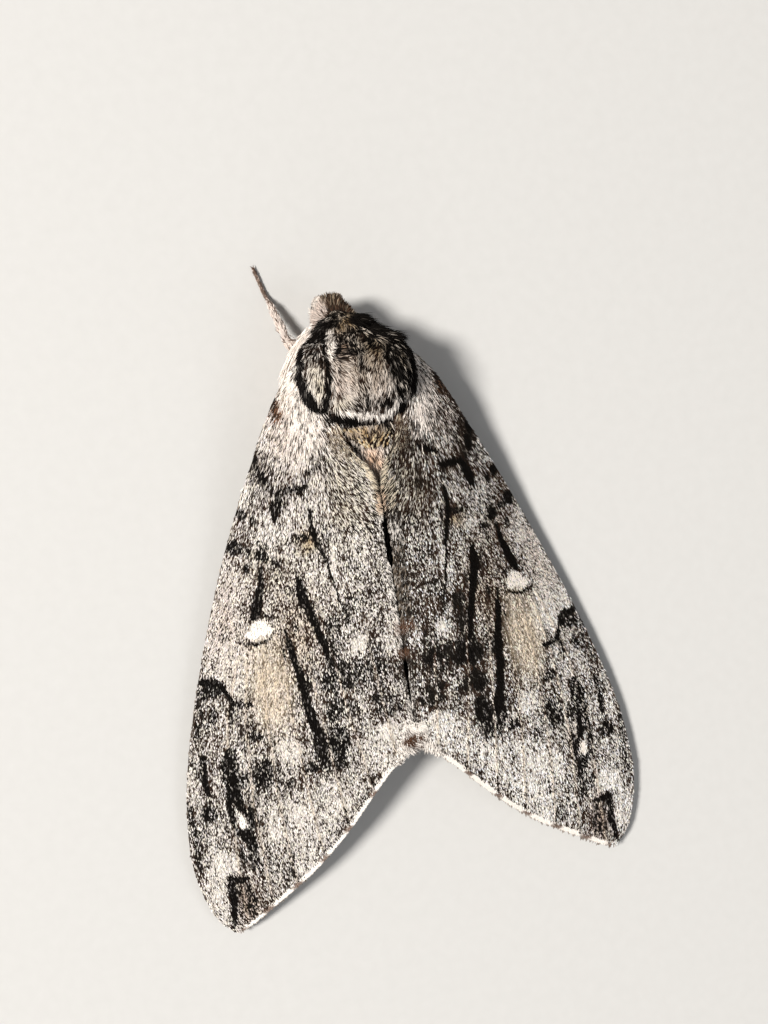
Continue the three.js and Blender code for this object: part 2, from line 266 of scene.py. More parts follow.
def tufts(name, root, tip, normal, width, thickness, colour, uv, material, bend=None):
    """A coat piece of many tufts: kites, or spindles bent outwards by a share of their length."""
    along = tip - root
    side = unit(np.cross(along, normal))
    up = unit(np.cross(side, along))
    middle = root + along * WIDEST
    if bend is not None:
        middle = middle + up * (np.linalg.norm(along, axis=1) * bend)[:, None]
    half = side * (width / 2)[:, None]
    depth = up * np.broadcast_to(thickness, width.shape)[:, None]
    corners = [root, tip, middle - half - depth / 2, middle + half - depth / 2]
    faces = KITE_FACES
    if bend is not None:
        corners.append(middle + depth / 2)
        faces = HAIR_FACES
    count, per = len(root), len(corners)
    vertices = np.stack(corners, axis=1).reshape(-1, 3)
    all_faces = (np.arange(count)[:, None, None] * per + faces[None]).reshape(-1, 3)
    colours = np.repeat(colour, per, axis=0)
    piece = mesh_piece(name, vertices, all_faces, material, colours, smooth_faces=False)
    spots = (uv.clip(0, 1)[:, None, :] * (1 - 2 * PATCH) + PATCH + PATCH_SHAPE[None, :per]).reshape(-1, 2)
    layer = piece.data.uv_layers.new(name="OFBake")
    layer.data.foreach_set("uv", spots[all_faces.ravel()].astype(np.float32).ravel())


# ------------------------------------------------------------------ materials
SHADER = "Principled BSDF"


def new_material(name):
    material = bpy.data.materials.new(name)
    material.use_nodes = True
    return material, material.node_tree.nodes, material.node_tree.links


def new_node(nodes, kind, settings):
    """A shader node with some of its inputs set."""
    made = nodes.new(f"ShaderNode{kind}")
    for name, value in settings.items():
        made.inputs[name].default_value = value
    return made


def add_texture(nodes, links, kind, settings):
    """A texture in object space."""
    place = nodes.new("ShaderNodeTexCoord")
    texture = new_node(nodes, kind, settings)
    links.new(place.outputs["Object"], texture.inputs["Vector"])
    return texture


def add_relief(nodes, links, height, strength, depth, invert=False):
    """Bumps over the whole surface."""
    relief = new_node(nodes, "Bump", {"Strength": strength, "Distance": depth})
    relief.invert = invert
    links.new(height, relief.inputs["Height"])
    links.new(relief.outputs["Normal"], nodes[SHADER].inputs["Normal"])


def add_roughness(nodes, links, value, low, high):
    spread = new_node(nodes, "MapRange", {"To Min": low, "To Max": high})
    links.new(value, spread.inputs["Value"])
    links.new(spread.outputs["Result"], nodes[SHADER].inputs["Roughness"])


def add_ramp(nodes, links, value, *stops):
    """The base colour, from a value through two (position, colour) stops."""
    ramp = nodes.new("ShaderNodeValToRGB")
    for element, (position, colour) in zip(ramp.color_ramp.elements, stops):
        element.position = position
        element.color = (*colour, 1)
    links.new(value, ramp.inputs["Fac"])
    links.new(ramp.outputs["Color"], nodes[SHADER].inputs["Base Color"])


def add_grain(nodes, links, scale, bump, rough):
    """Fine noise that roughens the surface, with its value for the colour."""
    grain = add_texture(nodes, links, "TexNoise", {"Scale": scale, "Detail": 3}).outputs["Fac"]
    add_relief(nodes, links, grain, bump, 0.00003)
    add_roughness(nodes, links, grain, *rough)
    return grain


def tinted_material(name, scale, bump=0.3, rough=(0.5, 0.8), specular=0.3):
    """Takes its colour from the piece's own vertices, varied by grain."""
    material, nodes, links = new_material(name)
    grain = add_grain(nodes, links, scale, bump, rough)
    tint = nodes.new("ShaderNodeAttribute")
    tint.attribute_name = "Tint"
    shade = new_node(nodes, "MapRange", {"To Min": 0.8, "To Max": 1.2})
    links.new(grain, shade.inputs["Value"])
    mix = nodes.new("ShaderNodeMix")
    mix.data_type = "RGBA"
    mix.blend_type = "MULTIPLY"
    mix.inputs["Factor"].default_value = 1
    links.new(tint.outputs["Color"], mix.inputs["A"])
    links.new(shade.outputs["Result"], mix.inputs["B"])
    links.new(mix.outputs["Result"], nodes[SHADER].inputs["Base Color"])
    nodes[SHADER].inputs["Specular IOR Level"].default_value = specular
    return material


def eye_material():
    """A compound eye: dark brown and glossy, with fine facets."""
    material, nodes, links = new_material("compound_eye")
    facets = add_texture(nodes, links, "TexVoronoi", {"Scale": 16000}).outputs["Distance"]
    add_relief(nodes, links, facets, 0.5, 0.00002, invert=True)
    clouds = add_texture(nodes, links, "TexNoise", {"Scale": 1500}).outputs["Fac"]
    add_ramp(nodes, links, clouds, (0.35, (0.009, 0.006, 0.005)), (0.7, (0.045, 0.022, 0.012)))
    add_roughness(nodes, links, clouds, 0.12, 0.3)
    nodes[SHADER].inputs["Coat Weight"].default_value = 0.4
    return material


WING_SKIN = tinted_material("wing_membrane", 6000, bump=0.5, specular=0.15)
WING_SCALE = tinted_material("wing_scales", 12000, rough=(0.5, 0.75), specular=0.05)
BODY_SKIN = tinted_material("body_skin", 5000, bump=0.5, specular=0.1)
BODY_HAIR = tinted_material("body_hair", 12000, rough=(0.5, 0.75), specular=0.06)
LEG_SCALE = tinted_material("leg_scales", 12000)
FEELER = tinted_material("feeler", 9000, bump=0.6)
HORN = tinted_material("claw_horn", 7000, rough=(0.25, 0.45))
EYE = eye_material()

# ------------------------------------------------------------------ colours, as linear light
WHITE = np.array((0.91, 0.85, 0.785))
PALE_GREY = np.array((0.46, 0.405, 0.355))
MID_GREY = np.array((0.20, 0.168, 0.143))
DARK = np.array((0.030, 0.0235, 0.018))
BLACK = np.array((0.005, 0.0038, 0.003))
TAN = np.array((0.60, 0.47, 0.33))
BUFF = np.array((0.78, 0.65, 0.50))
OLIVE = np.array((0.50, 0.43, 0.25))
BROWN = np.array((0.19, 0.095, 0.055))
PINK = np.array((0.68, 0.51, 0.43))
GOLD = np.array((0.56, 0.37, 0.18))
CREAM = np.array((0.74, 0.66, 0.48))
APRICOT = np.array((0.70, 0.48, 0.34))


def blended(base, colour, weight):
    return base + (colour - base) * np.asarray(weight)[..., None]


def evenly_blended(base, colour, weight):
    """A blend in even steps to the eye, between pale and dark."""
    return blended(base ** (1 / 2.2), np.asarray(colour) ** (1 / 2.2), weight) ** 2.2


def peppered(pale, dark, level, grain, spread=0.3):
    """Dark where the grain, from 0 to 1, is under the level, and pale where it is over it."""
    return evenly_blended(pale, dark, smooth((level - grain) / spread + 0.5))


# ------------------------------------------------------------------ marks
EDGE = 0.12  # softness of a mark's edge


def line(x, y, path):
    """1 on a line through (x, y, width) points, 0 off it."""
    best = np.zeros(np.shape(x))
    for (x0, y0, w0), (x1, y1, w1) in zip(path, path[1:]):
        dx, dy = x1 - x0, y1 - y0
        t = np.clip(((x - x0) * dx + (y - y0) * dy) / (dx * dx + dy * dy), 0, 1)
        distance = np.hypot(x - x0 - t * dx, y - y0 - t * dy)
        half = (w0 + t * (w1 - w0)) / 2
        best = np.maximum(best, 1 - smooth((distance - half + EDGE) / (2 * EDGE)))
    return best


def in_ellipse(x, y, cx, cy, rx, ry, lean=0.0):
    """Places in an ellipse's own axes, each 1 at its rim. Lean turns it, in radians."""
    cos, sin = math.cos(lean), math.sin(lean)
    a = (x - cx) * cos + (y - cy) * sin
    b = (y - cy) * cos - (x - cx) * sin
    return a / rx, b / ry


def spot(x, y, *ellipse):
    """1 inside an ellipse, fading over its rim."""
    return 1 - rise(np.hypot(*in_ellipse(x, y, *ellipse)), 0.65, 0.7)


def soft_spot(x, y, *ellipse):
    """A spot that fades over its whole width."""
    a, b = in_ellipse(x, y, *ellipse)
    return np.exp(-1.2 * (a ** 2 + b ** 2))


def patched(level, x, y, darks, lights, broken=1):
    """The share of dark scales or hairs, raised in the dark patches and lowered in the pale ones."""
    for strength, *place in darks.values():
        level = level + (1 - level) * np.minimum(strength * spot(x, y, *place) * broken, 1)
    for strength, *place in lights.values():
        level = level * (1 - strength * spot(x, y, *place))
    return level


def tinted(pale, x, y, tints, patchy):
    for colour, strength, *place in tints:
        pale = blended(pale, colour, np.minimum(strength * patchy * soft_spot(x, y, *place), 1))
    return pale


# The wing's dark marks, as (strength, path) with x outwards from the middle of the back.
WING_LINES = {
    "sub-basal bar, inner": (0.95, [(4.2, 8.0, 0.3), (4.9, 7.7, 0.5), (5.7, 7.4, 0.45), (6.2, 7.2, 0.2)]),
    "sub-basal bar, outer": (0.93, [
        (6.1, 6.2, 0.4), (6.6, 5.9, 0.8), (7.2, 6.0, 0.85), (7.8, 5.9, 0.7), (8.3, 6.1, 0.4),
    ]),
    "costal streak": (0.92, [(8.3, 6.1, 0.5), (8.7, 5.1, 0.8), (9.1, 4.4, 0.95), (9.2, 3.5, 0.5)]),
    "anal line": (1.0, [
        (6.2, 4.0, 0.18), (6.25, 2.4, 0.42), (6.05, 1.2, 0.6), (5.75, 0.1, 0.4), (5.5, -1.0, 0.28),
        (5.25, -2.5, 0.23), (5.05, -3.5, 0.22), (4.85, -4.6, 0.2), (4.6, -5.4, 0.16), (4.35, -6.0, 0.1),
    ]),
    "antemedial bar": (0.6, [(6.3, 1.75, 0.4), (7.2, 1.6, 0.7), (7.9, 1.9, 0.6), (8.5, 1.3, 0.4)]),
    "first dash": (1.0, [
        (8.15, -1.8, 0.25), (8.1, -2.6, 0.7), (8.0, -3.6, 0.95), (7.7, -4.9, 0.85), (7.35, -6.2, 0.75),
        (7.05, -7.4, 0.65), (6.75, -8.7, 0.55), (6.5, -10.0, 0.4),
    ]),
    "second dash": (1.0, [
        (9.95, -6.3, 0.2), (9.75, -7.8, 0.5), (9.55, -9.3, 0.65), (9.3, -11.0, 0.75), (9.15, -12.5, 0.82),
        (9.0, -14.0, 0.82), (8.75, -15.5, 0.9), (8.4, -17.2, 1.1),
    ]),
    "dash before the spot": (1.0, [
        (11.0, -0.4, 0.25), (11.2, -1.4, 0.45), (11.5, -2.7, 0.75), (12.0, -3.9, 0.85),
        (12.3, -4.9, 0.65),
    ]),
    "spot's front rim": (0.95, [(10.7, -5.2, 0.2), (11.3, -4.95, 0.25), (12.1, -4.8, 0.3)]),
    "spot's rear rim": (0.97, [
        (10.9, -6.7, 0.2), (11.6, -7.1, 0.28), (12.8, -7.3, 0.28), (14.0, -6.95, 0.15),
    ]),
    "inner bar": (0.5, [(1.0, -3.9, 0.45), (2.4, -4.3, 0.5), (4.0, -4.4, 0.4)]),
    "subapical arc": (1.0, [
        (18.7, -10.0, 0.55), (17.4, -10.25, 0.75), (16.4, -10.5, 0.65), (16.0, -11.4, 0.5),
        (15.5, -12.3, 0.5),
    ]),
    "arc, inner end": (0.97, [(15.5, -12.3, 0.5), (14.8, -12.6, 0.8), (14.1, -12.7, 0.6)]),
    "outer streak, long": (0.95, [
        (16.4, -16.8, 0.9), (16.8, -18.0, 1.6), (16.9, -19.4, 1.5), (16.7, -21.0, 1.1),
        (16.4, -22.0, 0.7),
    ]),
    "outer streak, core": (1.0, [
        (16.6, -18.8, 0.25), (16.5, -20.5, 0.5), (16.5, -21.6, 0.6), (16.1, -22.6, 0.35),
    ]),
    "outer streak, side": (0.97, [
        (17.3, -20.4, 0.5), (17.4, -22.0, 0.6), (17.25, -23.4, 0.45), (17.1, -24.4, 0.4),
    ]),
    "outer streak, end": (0.96, [
        (17.3, -24.1, 0.6), (16.4, -24.6, 1.3), (16.0, -25.6, 1.0), (15.8, -27.0, 0.4),
    ]),
    "costal streak, outer": (0.95, [(19.0, -17.0, 0.5), (19.2, -18.6, 0.75), (19.1, -20.4, 0.5)]),
    "apical line": (1.0, [
        (17.0, -28.7, 0.45), (17.9, -28.75, 0.65), (18.4, -28.6, 0.6), (18.55, -29.4, 0.75),
        (18.5, -30.6, 0.7), (18.6, -31.6, 0.6), (18.75, -32.6, 0.5), (18.95, -33.5, 0.35),
    ]),
    "end of vein 2": (0.92, [(4.3, -22.4, 0.25), (4.6, -21.0, 0.12)]),
    "end of vein 3": (0.95, [(7.1, -25.1, 0.28), (7.4, -23.5, 0.15)]),
    "end of vein 4": (0.95, [(9.7, -27.6, 0.25), (10.0, -26.2, 0.12)]),
    "end of vein 5": (0.95, [(12.5, -29.9, 0.25), (12.9, -28.6, 0.12)]),
    "end of vein 6": (0.95, [(14.9, -31.7, 0.25), (15.3, -30.6, 0.12)]),
}
# Dark patches, as (strength, cx, cy, rx, ry), with a lean for those that lean.
WING_PATCHES = {
    "base, front": (0.9, 7.3, 14.2, 0.28, 0.6),
    "base, rear": (0.75, 7.55, 12.8, 0.3, 0.7),
    "costal spot 1": (0.95, 10.0, 8.8, 0.4, 0.7),
    "costal spot 1, rear": (0.7, 9.65, 7.5, 0.42, 0.8),
    "costal spot 2": (0.97, 11.9, 4.5, 0.5, 0.6),
    "costal spot 2, inner": (0.6, 11.0, 3.8, 0.4, 0.5),
    "costal spot 3": (0.97, 13.0, 1.5, 0.7, 0.62),
    "costal spot 3, inner": (0.4, 11.9, 1.1, 0.4, 0.4),
    "middle spot": (0.97, 10.7, 0.6, 0.6, 0.75),
    "middle spot, rear": (0.9, 9.7, -0.3, 0.6, 0.45),
    "middle spot, front": (0.75, 12.4, -0.7, 0.35, 0.5),
    "middle spot, inner": (0.65, 9.2, 1.1, 0.3, 0.5),
    "medial band": (0.42, 4.6, -11.3, 4.6, 1.5),
    "medial band, inner": (0.5, 2.8, -10.9, 1.1, 0.6, 0.1),
    "medial band, middle": (0.42, 6.0, -11.6, 1.5, 0.8, 0.1),
    "medial band, rear": (0.5, 6.2, -14.3, 1.4, 1.1),
    "medial band, rear inner": (0.45, 2.5, -13.9, 1.5, 0.5),
    "beside the first dash": (0.4, 6.2, -8.0, 0.8, 2.2, 0.15),
    "inner clump": (0.5, 2.0, -15.0, 1.5, 0.6),
    "end of the second dash": (0.9, 8.2, -17.6, 1.0, 1.5),
    "beside it": (0.85, 6.7, -17.4, 0.7, 1.6, 0.1),
    "behind it": (0.65, 7.6, -19.4, 1.3, 0.7),
    "right of it": (0.85, 9.8, -19.3, 0.7, 0.5),
    "under the arc": (0.85, 14.0, -15.6, 0.75, 0.45, 0.3),
    "under the arc's bar": (0.8, 17.2, -11.2, 1.0, 0.55),
    "arc, ragged": (0.7, 15.9, -13.4, 0.35, 0.9, 0.2),
    "near the arc": (0.9, 17.4, -13.3, 0.42, 0.8, 0.25),
    "costal shade": (0.35, 18.8, -12.5, 0.6, 2.5),
    "mottled": (0.72, 13.6, -19.3, 1.1, 1.4, 0.3),
    "mottled, rear": (0.45, 11.0, -20.6, 1.4, 0.5, 0.2),
    "costal smudge": (0.9, 19.4, -22.2, 0.75, 0.8),
    "brown smudge": (0.75, 15.5, -23.0, 0.5, 1.2),
    "brown end": (0.5, 15.8, -27.0, 0.8, 1.3, 0.1),
    "inside the apical mark": (0.4, 17.3, -30.9, 1.1, 2.3, 0.1),
    "tornal spot": (0.85, 2.2, -19.3, 0.35, 0.35),
    "outer costa": (0.3, 20.9, -24.0, 0.5, 4.5),
}
# Pale patches: the same, with the share of dark scales that they take away.
WING_LIGHTS = {
    "white base": (0.95, 5.6, 13.0, 1.5, 4.2),
    "base, outer": (0.55, 7.2, 10.0, 1.7, 2.8),
    "behind the outer bar": (0.5, 7.0, 4.2, 0.7, 1.1),
    "pale cell": (0.35, 8.8, 2.0, 1.9, 2.4),
    "costa, pale": (0.45, 11.2, 6.2, 0.5, 1.3, 0.45),
    "discal spot": (1.0, 12.2, -6.1, 1.1, 0.85, -0.35),
    "inner spot": (0.75, 4.0, -8.5, 0.7, 0.9),
    "inner spot, core": (0.8, 3.8, -8.5, 0.5, 0.75),
    "before the inner spot": (0.5, 4.7, -7.0, 0.5, 0.4),
    "inside the anal line": (0.9, 5.05, -1.8, 0.28, 2.6, 0.14),
    "outside the anal line": (0.35, 6.9, -1.4, 0.6, 3.0, 0.08),
    "pale costa": (0.5, 15.2, -4.8, 1.6, 5.2, 0.25),
    "buff patch": (0.55, 12.3, -11.2, 1.7, 4.4, 0.05),
    "pale strip": (0.7, 14.8, -9.2, 1.3, 2.8, 0.2),
    "pale rear": (0.75, 11.4, -17.5, 1.1, 1.0),
    "pale tornus": (0.5, 3.4, -18.6, 2.6, 2.0, -0.4),
    "white tornus": (0.9, 2.2, -16.9, 0.9, 0.9),
    "pale inner edge": (0.4, 1.0, -8.5, 0.7, 1.5),
    "pale termen": (0.45, 11.0, -24.0, 4.6, 2.6, -0.75),
    "before the fringe": (0.35, 10.5, -27.0, 5.5, 1.3, -0.95),
    "pale termen, middle": (0.65, 11.6, -23.4, 1.0, 1.0),
    "pale termen, outer": (0.6, 13.7, -24.2, 0.55, 1.4),
    "pale termen, inner": (0.3, 6.6, -21.6, 2.6, 1.5, -0.75),
    "white chip": (1.0, 16.55, -23.4, 0.28, 0.65),
    "apical area": (0.85, 18.6, -27.0, 1.2, 1.2, 0.2),
    "apex strip": (0.6, 20.0, -30.5, 1.0, 3.2, 0.12),
}
# Pure white spots, which no dark scale breaks.
WING_WHITES = [
    (12.05, -5.85, 0.72, 0.62), (12.75, -6.4, 0.6, 0.4), (11.6, -6.2, 0.5, 0.5), (16.55, -23.4, 0.25, 0.7),
]
# Tints of the pale scales, as (colour, strength, cx, cy, rx, ry), with a lean for those that lean.
WING_TINTS = [
    (BUFF, 1.0, 12.0, -11.0, 2.2, 4.8, 0.05),
    (BUFF, 0.7, 9.0, -6.5, 2.2, 4.4, 0.15),
    (OLIVE, 0.8, 6.9, 0.9, 0.9, 0.9),
    (OLIVE, 0.45, 2.6, 5.5, 2.4, 5.0),
    (OLIVE, 0.35, 10.6, -1.0, 1.6, 2.2),
    (PINK, 0.45, 7.2, 11.0, 1.8, 3.5),
    (PINK, 0.35, 15.0, -5.0, 1.8, 5.0, 0.2),
    (TAN, 0.7, 6.8, 13.6, 0.6, 1.2),
    (GOLD * 1.3, 0.6, 6.8, 1.4, 0.8, 0.9),
    (BROWN * 1.8, 0.5, 17.2, -31.0, 1.1, 2.2),
    (BROWN, 0.35, 9.7, 8.0, 0.9, 2.0),
    (BROWN, 0.35, 17.4, -31.0, 1.0, 2.0, 0.1),
    (BROWN, 0.3, 15.3, -22.0, 0.8, 1.8),
]
BUFF_AREA = (12.0, -11.2, 1.9, 4.2, 0.05)  # where even the dark scales are brown
# Veins run from near the middle of the wing to these places on its rear edge.
VEINS = [
    [(4.9, 9.0), (4.0, 0.0), (2.9, -10.0), (2.0, -19.5)],
    [(7.2, 4.0), (6.6, -6.0), (5.6, -15.0), (4.5, -22.3)],
    [(8.6, -3.0), (8.3, -11.0), (7.8, -18.0), (7.2, -25.1)],
    [(10.6, -6.5), (10.6, -14.0), (10.3, -21.0), (9.8, -27.4)],
    [(12.2, -7.5), (12.8, -14.0), (13.0, -22.0), (12.6, -29.8)],
    [(13.4, -7.5), (14.7, -14.0), (15.3, -22.0), (15.0, -31.6)],
    [(13.9, -7.0), (16.2, -13.5), (17.4, -21.0), (17.6, -33.0)],
]
VEIN_WIDTH = 0.34
VEIN_RISE = 0.05


def veins(x, y, width):
    return np.max([line(x, y, [(a, b, width) for a, b in path]) for path in VEINS], axis=0)


MARKS_SEED = 400  # the same for both wings
GRAIN_SPREAD = 0.27  # how gradually the scales go from pale to dark
PEPPERED = 0.9  # share of dark scales in the darkest marks but the black dashes
SOLID = 0.985  # and in the black dashes
BLACK_FROM = 0.7  # share of dark scales above which they are black, not grey or brown
RAGGED = 0.18  # how far the edges of the marks wander


def wing_darkness(x, y):
    """The share of dark scales at each place of a forewing."""
    x = x + RAGGED * (noise(MARKS_SEED + 1, x / 0.25, y / 0.5) - 0.5)
    y = y + 2 * RAGGED * (noise(MARKS_SEED + 2, x / 0.25, y / 0.5) - 0.5)
    level = 0.54 + 0.30 * (noise(MARKS_SEED + 3, x / 1.3, y / 2.2) - 0.5)
    level = level + 0.26 * (noise(MARKS_SEED + 4, x / 0.36, y / 1.5) - 0.5)
    broken = 0.65 + 0.7 * noise(MARKS_SEED + 5, x / 0.3, y / 0.7)
    level = patched(level, x, y, WING_PATCHES, WING_LIGHTS, broken)
    level = level * (1 - 0.4 * veins(x, y, 0.22) * fall(y, -8, 4))
    level = np.minimum(level, PEPPERED)
    for strength, path in WING_LINES.values():
        full = SOLID if strength == 1 else PEPPERED
        level = np.maximum(level, level + (full - level) * strength * line(x, y, path))
    return np.maximum(level, 0.02)


def pure_white(x, y):
    """1 in the pure white spots."""
    return rise(np.max([spot(x, y, *place) for place in WING_WHITES], axis=0), 0.25, 0.35)


def wing_colours(x, y, grain=None):
    """Colour at each place of a forewing. With grain from 0 to 1 each scale is dark or pale."""
    darkness = wing_darkness(x, y)
    patchy = 0.55 + 0.6 * noise(MARKS_SEED + 6, x / 0.5, y / 1.2)
    pale = tinted(WHITE, x, y, WING_TINTS, patchy)
    pale = blended(pale, TAN, 0.4 * veins(x, y, 0.26) * fall(y, -6, 4))
    not_black = darkness < BLACK_FROM
    dark = blended(DARK * 0.4, BLACK, rise(darkness, BLACK_FROM, 0.2))
    dark = blended(dark, BROWN * 0.4, 0.5 * noise(MARKS_SEED + 7, x / 0.9, y / 1.6) * not_black)
    dark = blended(dark, TAN * 0.4, 0.9 * spot(x, y, *BUFF_AREA) * not_black)
    if grain is None:
        return evenly_blended(pale, dark, 0.3 + 0.65 * darkness)
    colour = peppered(pale, dark, darkness, grain, GRAIN_SPREAD)
    return blended(colour, WHITE * 1.02, pure_white(x, y))


# ------------------------------------------------------------------ wings
SKIN_DEPTH = 0.14  # of the wing's membrane under its solid's upper face
WING_THICKNESS = 0.32
RIM_THICKNESS = 0.12
HIND_DROP = 1.0  # of the hindwing's upper face under the roof
FORE_PLAN = (17.0, APEX_Y, fore_inner, costa_x)  # a wing's front, rear, inner and outer edges
HIND_PLAN = (11.5, -18.0, hind_inner, hind_outer)
BASE_PLAN = (17.0, 7.0, fore_inner, costa_x)


def forewing_top(x, y):
    x = np.abs(x)
    return roof_z(x, y) - SKIN_DEPTH + VEIN_RISE * veins(x, y, VEIN_WIDTH)


def hindwing_top(x, y):
    return roof_z(x, y) - HIND_DROP


def wing_skin(name, side, plan, top, colouring, across, along):
    """A closed thin wing lofted over its plan, thinner towards its rim."""
    front, rear, inner, outer = plan
    run = (1 - np.cos(np.pi * np.linspace(0, 1, along + 1)))[:, None] / 2
    y, share = np.broadcast_arrays(front + run * (rear - front), np.linspace(0, 1, across + 1))
    x = inner(y) + share * (outer(y) - inner(y))
    rim = np.minimum(np.minimum(share, 1 - share), np.minimum(run, 1 - run))
    thickness = RIM_THICKNESS + (WING_THICKNESS - RIM_THICKNESS) * smooth(rim / 0.06)
    z = top(x, y)
    faces_of_wing = [vectors(side * x, y, height).reshape(-1, 3) for height in (z, z - thickness)]
    colours = np.broadcast_to(colouring(x, y), (*x.shape, 3)).reshape(-1, 3)
    index = np.arange(x.size).reshape(x.shape)
    quads = vectors(index[:-1, :-1], index[1:, :-1], index[1:, 1:], index[:-1, 1:]).reshape(-1, 4)
    loop = np.concatenate([index[0, :], index[1:, -1], index[-1, -2::-1], index[-2:0:-1, 0]])
    after = np.roll(loop, -1)
    wall = vectors(loop, after, after + x.size, loop + x.size)
    faces = np.concatenate([quads, quads[:, ::-1] + x.size, wall])
    if side < 0:
        faces = faces[:, ::-1]
    colours = np.concatenate([colours, colours])
    return mesh_piece(name, np.concatenate(faces_of_wing), faces, WING_SKIN, colours)


def slope_normal(top, x, y, side):
    """Unit normal of a wing's upper face at places given with x outwards."""
    step = 0.05
    dx = (top(x + step, y) - top(x - step, y)) / (2 * step)
    dy = (top(x, y + step) - top(x, y - step)) / (2 * step)
    return unit(vectors(-side * dx, -dy, 1.0))


def wing_lie(x, y):
    """Direction in which the scales lie, with x outwards: back along the veins."""
    share = np.clip(x / costa_x(y), 0, 1)
    spread = (costa_x(y - 0.5) - costa_x(y + 0.5)) * share ** 1.5
    inward = 0.66 * rise(y, -2, 6) * fall(x, 5.4, 3)
    return unit(vectors(spread - inward, -1.0))


def scattered(plan, spacing_x, spacing_y, rng):
    """Places spread evenly but loosely over a wing's plan, with x outwards."""
    front, rear, inner, outer = plan
    y_lines = np.arange(rear + 0.05, front, spacing_y)
    x_lines = np.arange(0.2, 22, spacing_x)
    x, y = [grid.ravel() for grid in np.meshgrid(x_lines, y_lines)]
    x = x + rng.uniform(-0.6, 0.6, x.shape) * spacing_x
    y = y + rng.uniform(-0.6, 0.6, y.shape) * spacing_y
    inside = (x > inner(y) + 0.02) & (x < outer(y) - 0.02) & (y < front - 0.1) & (y > rear + 0.02)
    return x[inside], y[inside]


def wing_uv(plan, x, y):
    """An unwrap of the wing itself: across from its inner to its outer edge, and along it."""
    front, rear, inner, outer = plan
    return vectors((x - inner(y)) / np.maximum(outer(y) - inner(y), 0.1), (y - rear) / (front - rear))


def wing_tufts(name, side, roots, tips, width, thickness, colour, uv, bend=None,
               top=forewing_top, drop=0, facing=1):
    """Tufts from roots to tips, as (x outwards, y, height over the wing's face)."""
    root, tip = [vectors(side * x, y, top(x, y) - drop + height) for x, y, height in (roots, tips)]
    normal = slope_normal(top, *roots[:2], side) * facing
    tufts(name, root, tip, normal, width, thickness, colour, uv, WING_SCALE, bend)


SCALE_SPACING = (0.074, 0.122)  # across and along the wing
RIGHT_WING_PAINTED_SHADE = 0.17  # painted shade: more of the scales are dark on the right wing, in front and near the back
RIGHT_WING_PAINTED_HIGHLIGHT = 1.2  # painted highlight: the pale scales of the right wing are the brighter ones
FRINGE_TICKS = np.array([-22.6, -25.5, -27.9, -30.0, -31.9, -33.6])  # where the veins meet the rear edge
FRINGE_WIDTH = {"left": 0.05, "right": 0.18}  # of the strip on the rear edge that other scales leave bare


def between_ticks(y):
    """0 where a vein meets the rear edge, 1 away from it."""
    return rise(np.min(np.abs(y[:, None] - FRINGE_TICKS[None]), axis=1), 0.1, 0.5)


def upper_scales(name, side, seed):
    """The scales of a forewing's upper face, in an inner and an outer piece."""
    rng = np.random.default_rng(seed)
    x, y = scattered(FORE_PLAN, *SCALE_SPACING, rng)
    draw = draws(rng, x.shape)
    lie = wing_lie(x, y)
    turn = rng.normal(0, 0.13, x.shape)
    cos, sin = np.cos(turn), np.sin(turn)
    lie = vectors(lie[:, 0] * cos - lie[:, 1] * sin, lie[:, 0] * sin + lie[:, 1] * cos)
    near_base = rise(y, -1, 8)
    length = (0.33 + 0.26 * near_base) * draw(0.8, 1.25)
    width = (0.108 - 0.015 * near_base) * draw(0.75, 1.25)
    tip_x, tip_y = moved(x, y, lie, length)
    trim = FRINGE_WIDTH[name] * between_ticks(tip_y)
    kept = (tip_y >= -18.6) | (tip_x >= fore_inner(tip_y - trim) + 0.3 * trim)
    x, y, width, tip_x, tip_y = [values[kept] for values in (x, y, width, tip_x, tip_y)]
    draw = draws(rng, x.shape)
    lift = draw(0.04, 0.17)
    lane = 20 * x / costa_x(y)
    clump = 0.2 * noise(seed + 11, lane / 0.12, y / 0.42) + 0.2 * noise(seed + 12, lane / 0.26, y / 1.3)
    grain = evenly(clump + draw(0, 0.62))
    seen = (x + tip_x) / 2, (y + tip_y) / 2
    # Painted shade on the right wing: more of its scales are dark in front and near the back, and most at
    # its base, which is partly its own darker colour and partly painted shade.
    if side > 0:
        grain = grain - RIGHT_WING_PAINTED_SHADE * rise(y, -19, 5) * fall(x, 14.5, 3.5)
        grain = grain - 0.09 * rise(y, 2, 4) - 0.22 * rise(x, 5.0, 1.5) * rise(y, 8, 3)
    # Each scale's brightness varies at random, partly as painted glints; the right wing's scales get a
    # painted highlight on top.
    light = draw(0.56, 1.16) * (RIGHT_WING_PAINTED_HIGHLIGHT if side > 0 else 1)
    light = light + (1.06 - light) * pure_white(*seen)
    colour = np.minimum(wing_colours(*seen, grain) * light[:, None], 1)
    colour = colour * (1 + rng.uniform(-1, 1, colour.shape) * (0.03, 0.0, 0.08))
    uv = wing_uv(FORE_PLAN, x, y)
    inner = uv[:, 0] < 0.5
    for number, (half, chosen) in enumerate({"inner": inner, "outer": ~inner}.items()):
        roots = (x[chosen], y[chosen], -0.02)
        tips = (tip_x[chosen], tip_y[chosen], lift[chosen])
        wing_tufts(f"forewing_{name}_scales_{half}", side, roots, tips, width[chosen], 0.045,
                   colour[chosen], uv[chosen] * (2, 1) - (number, 0))


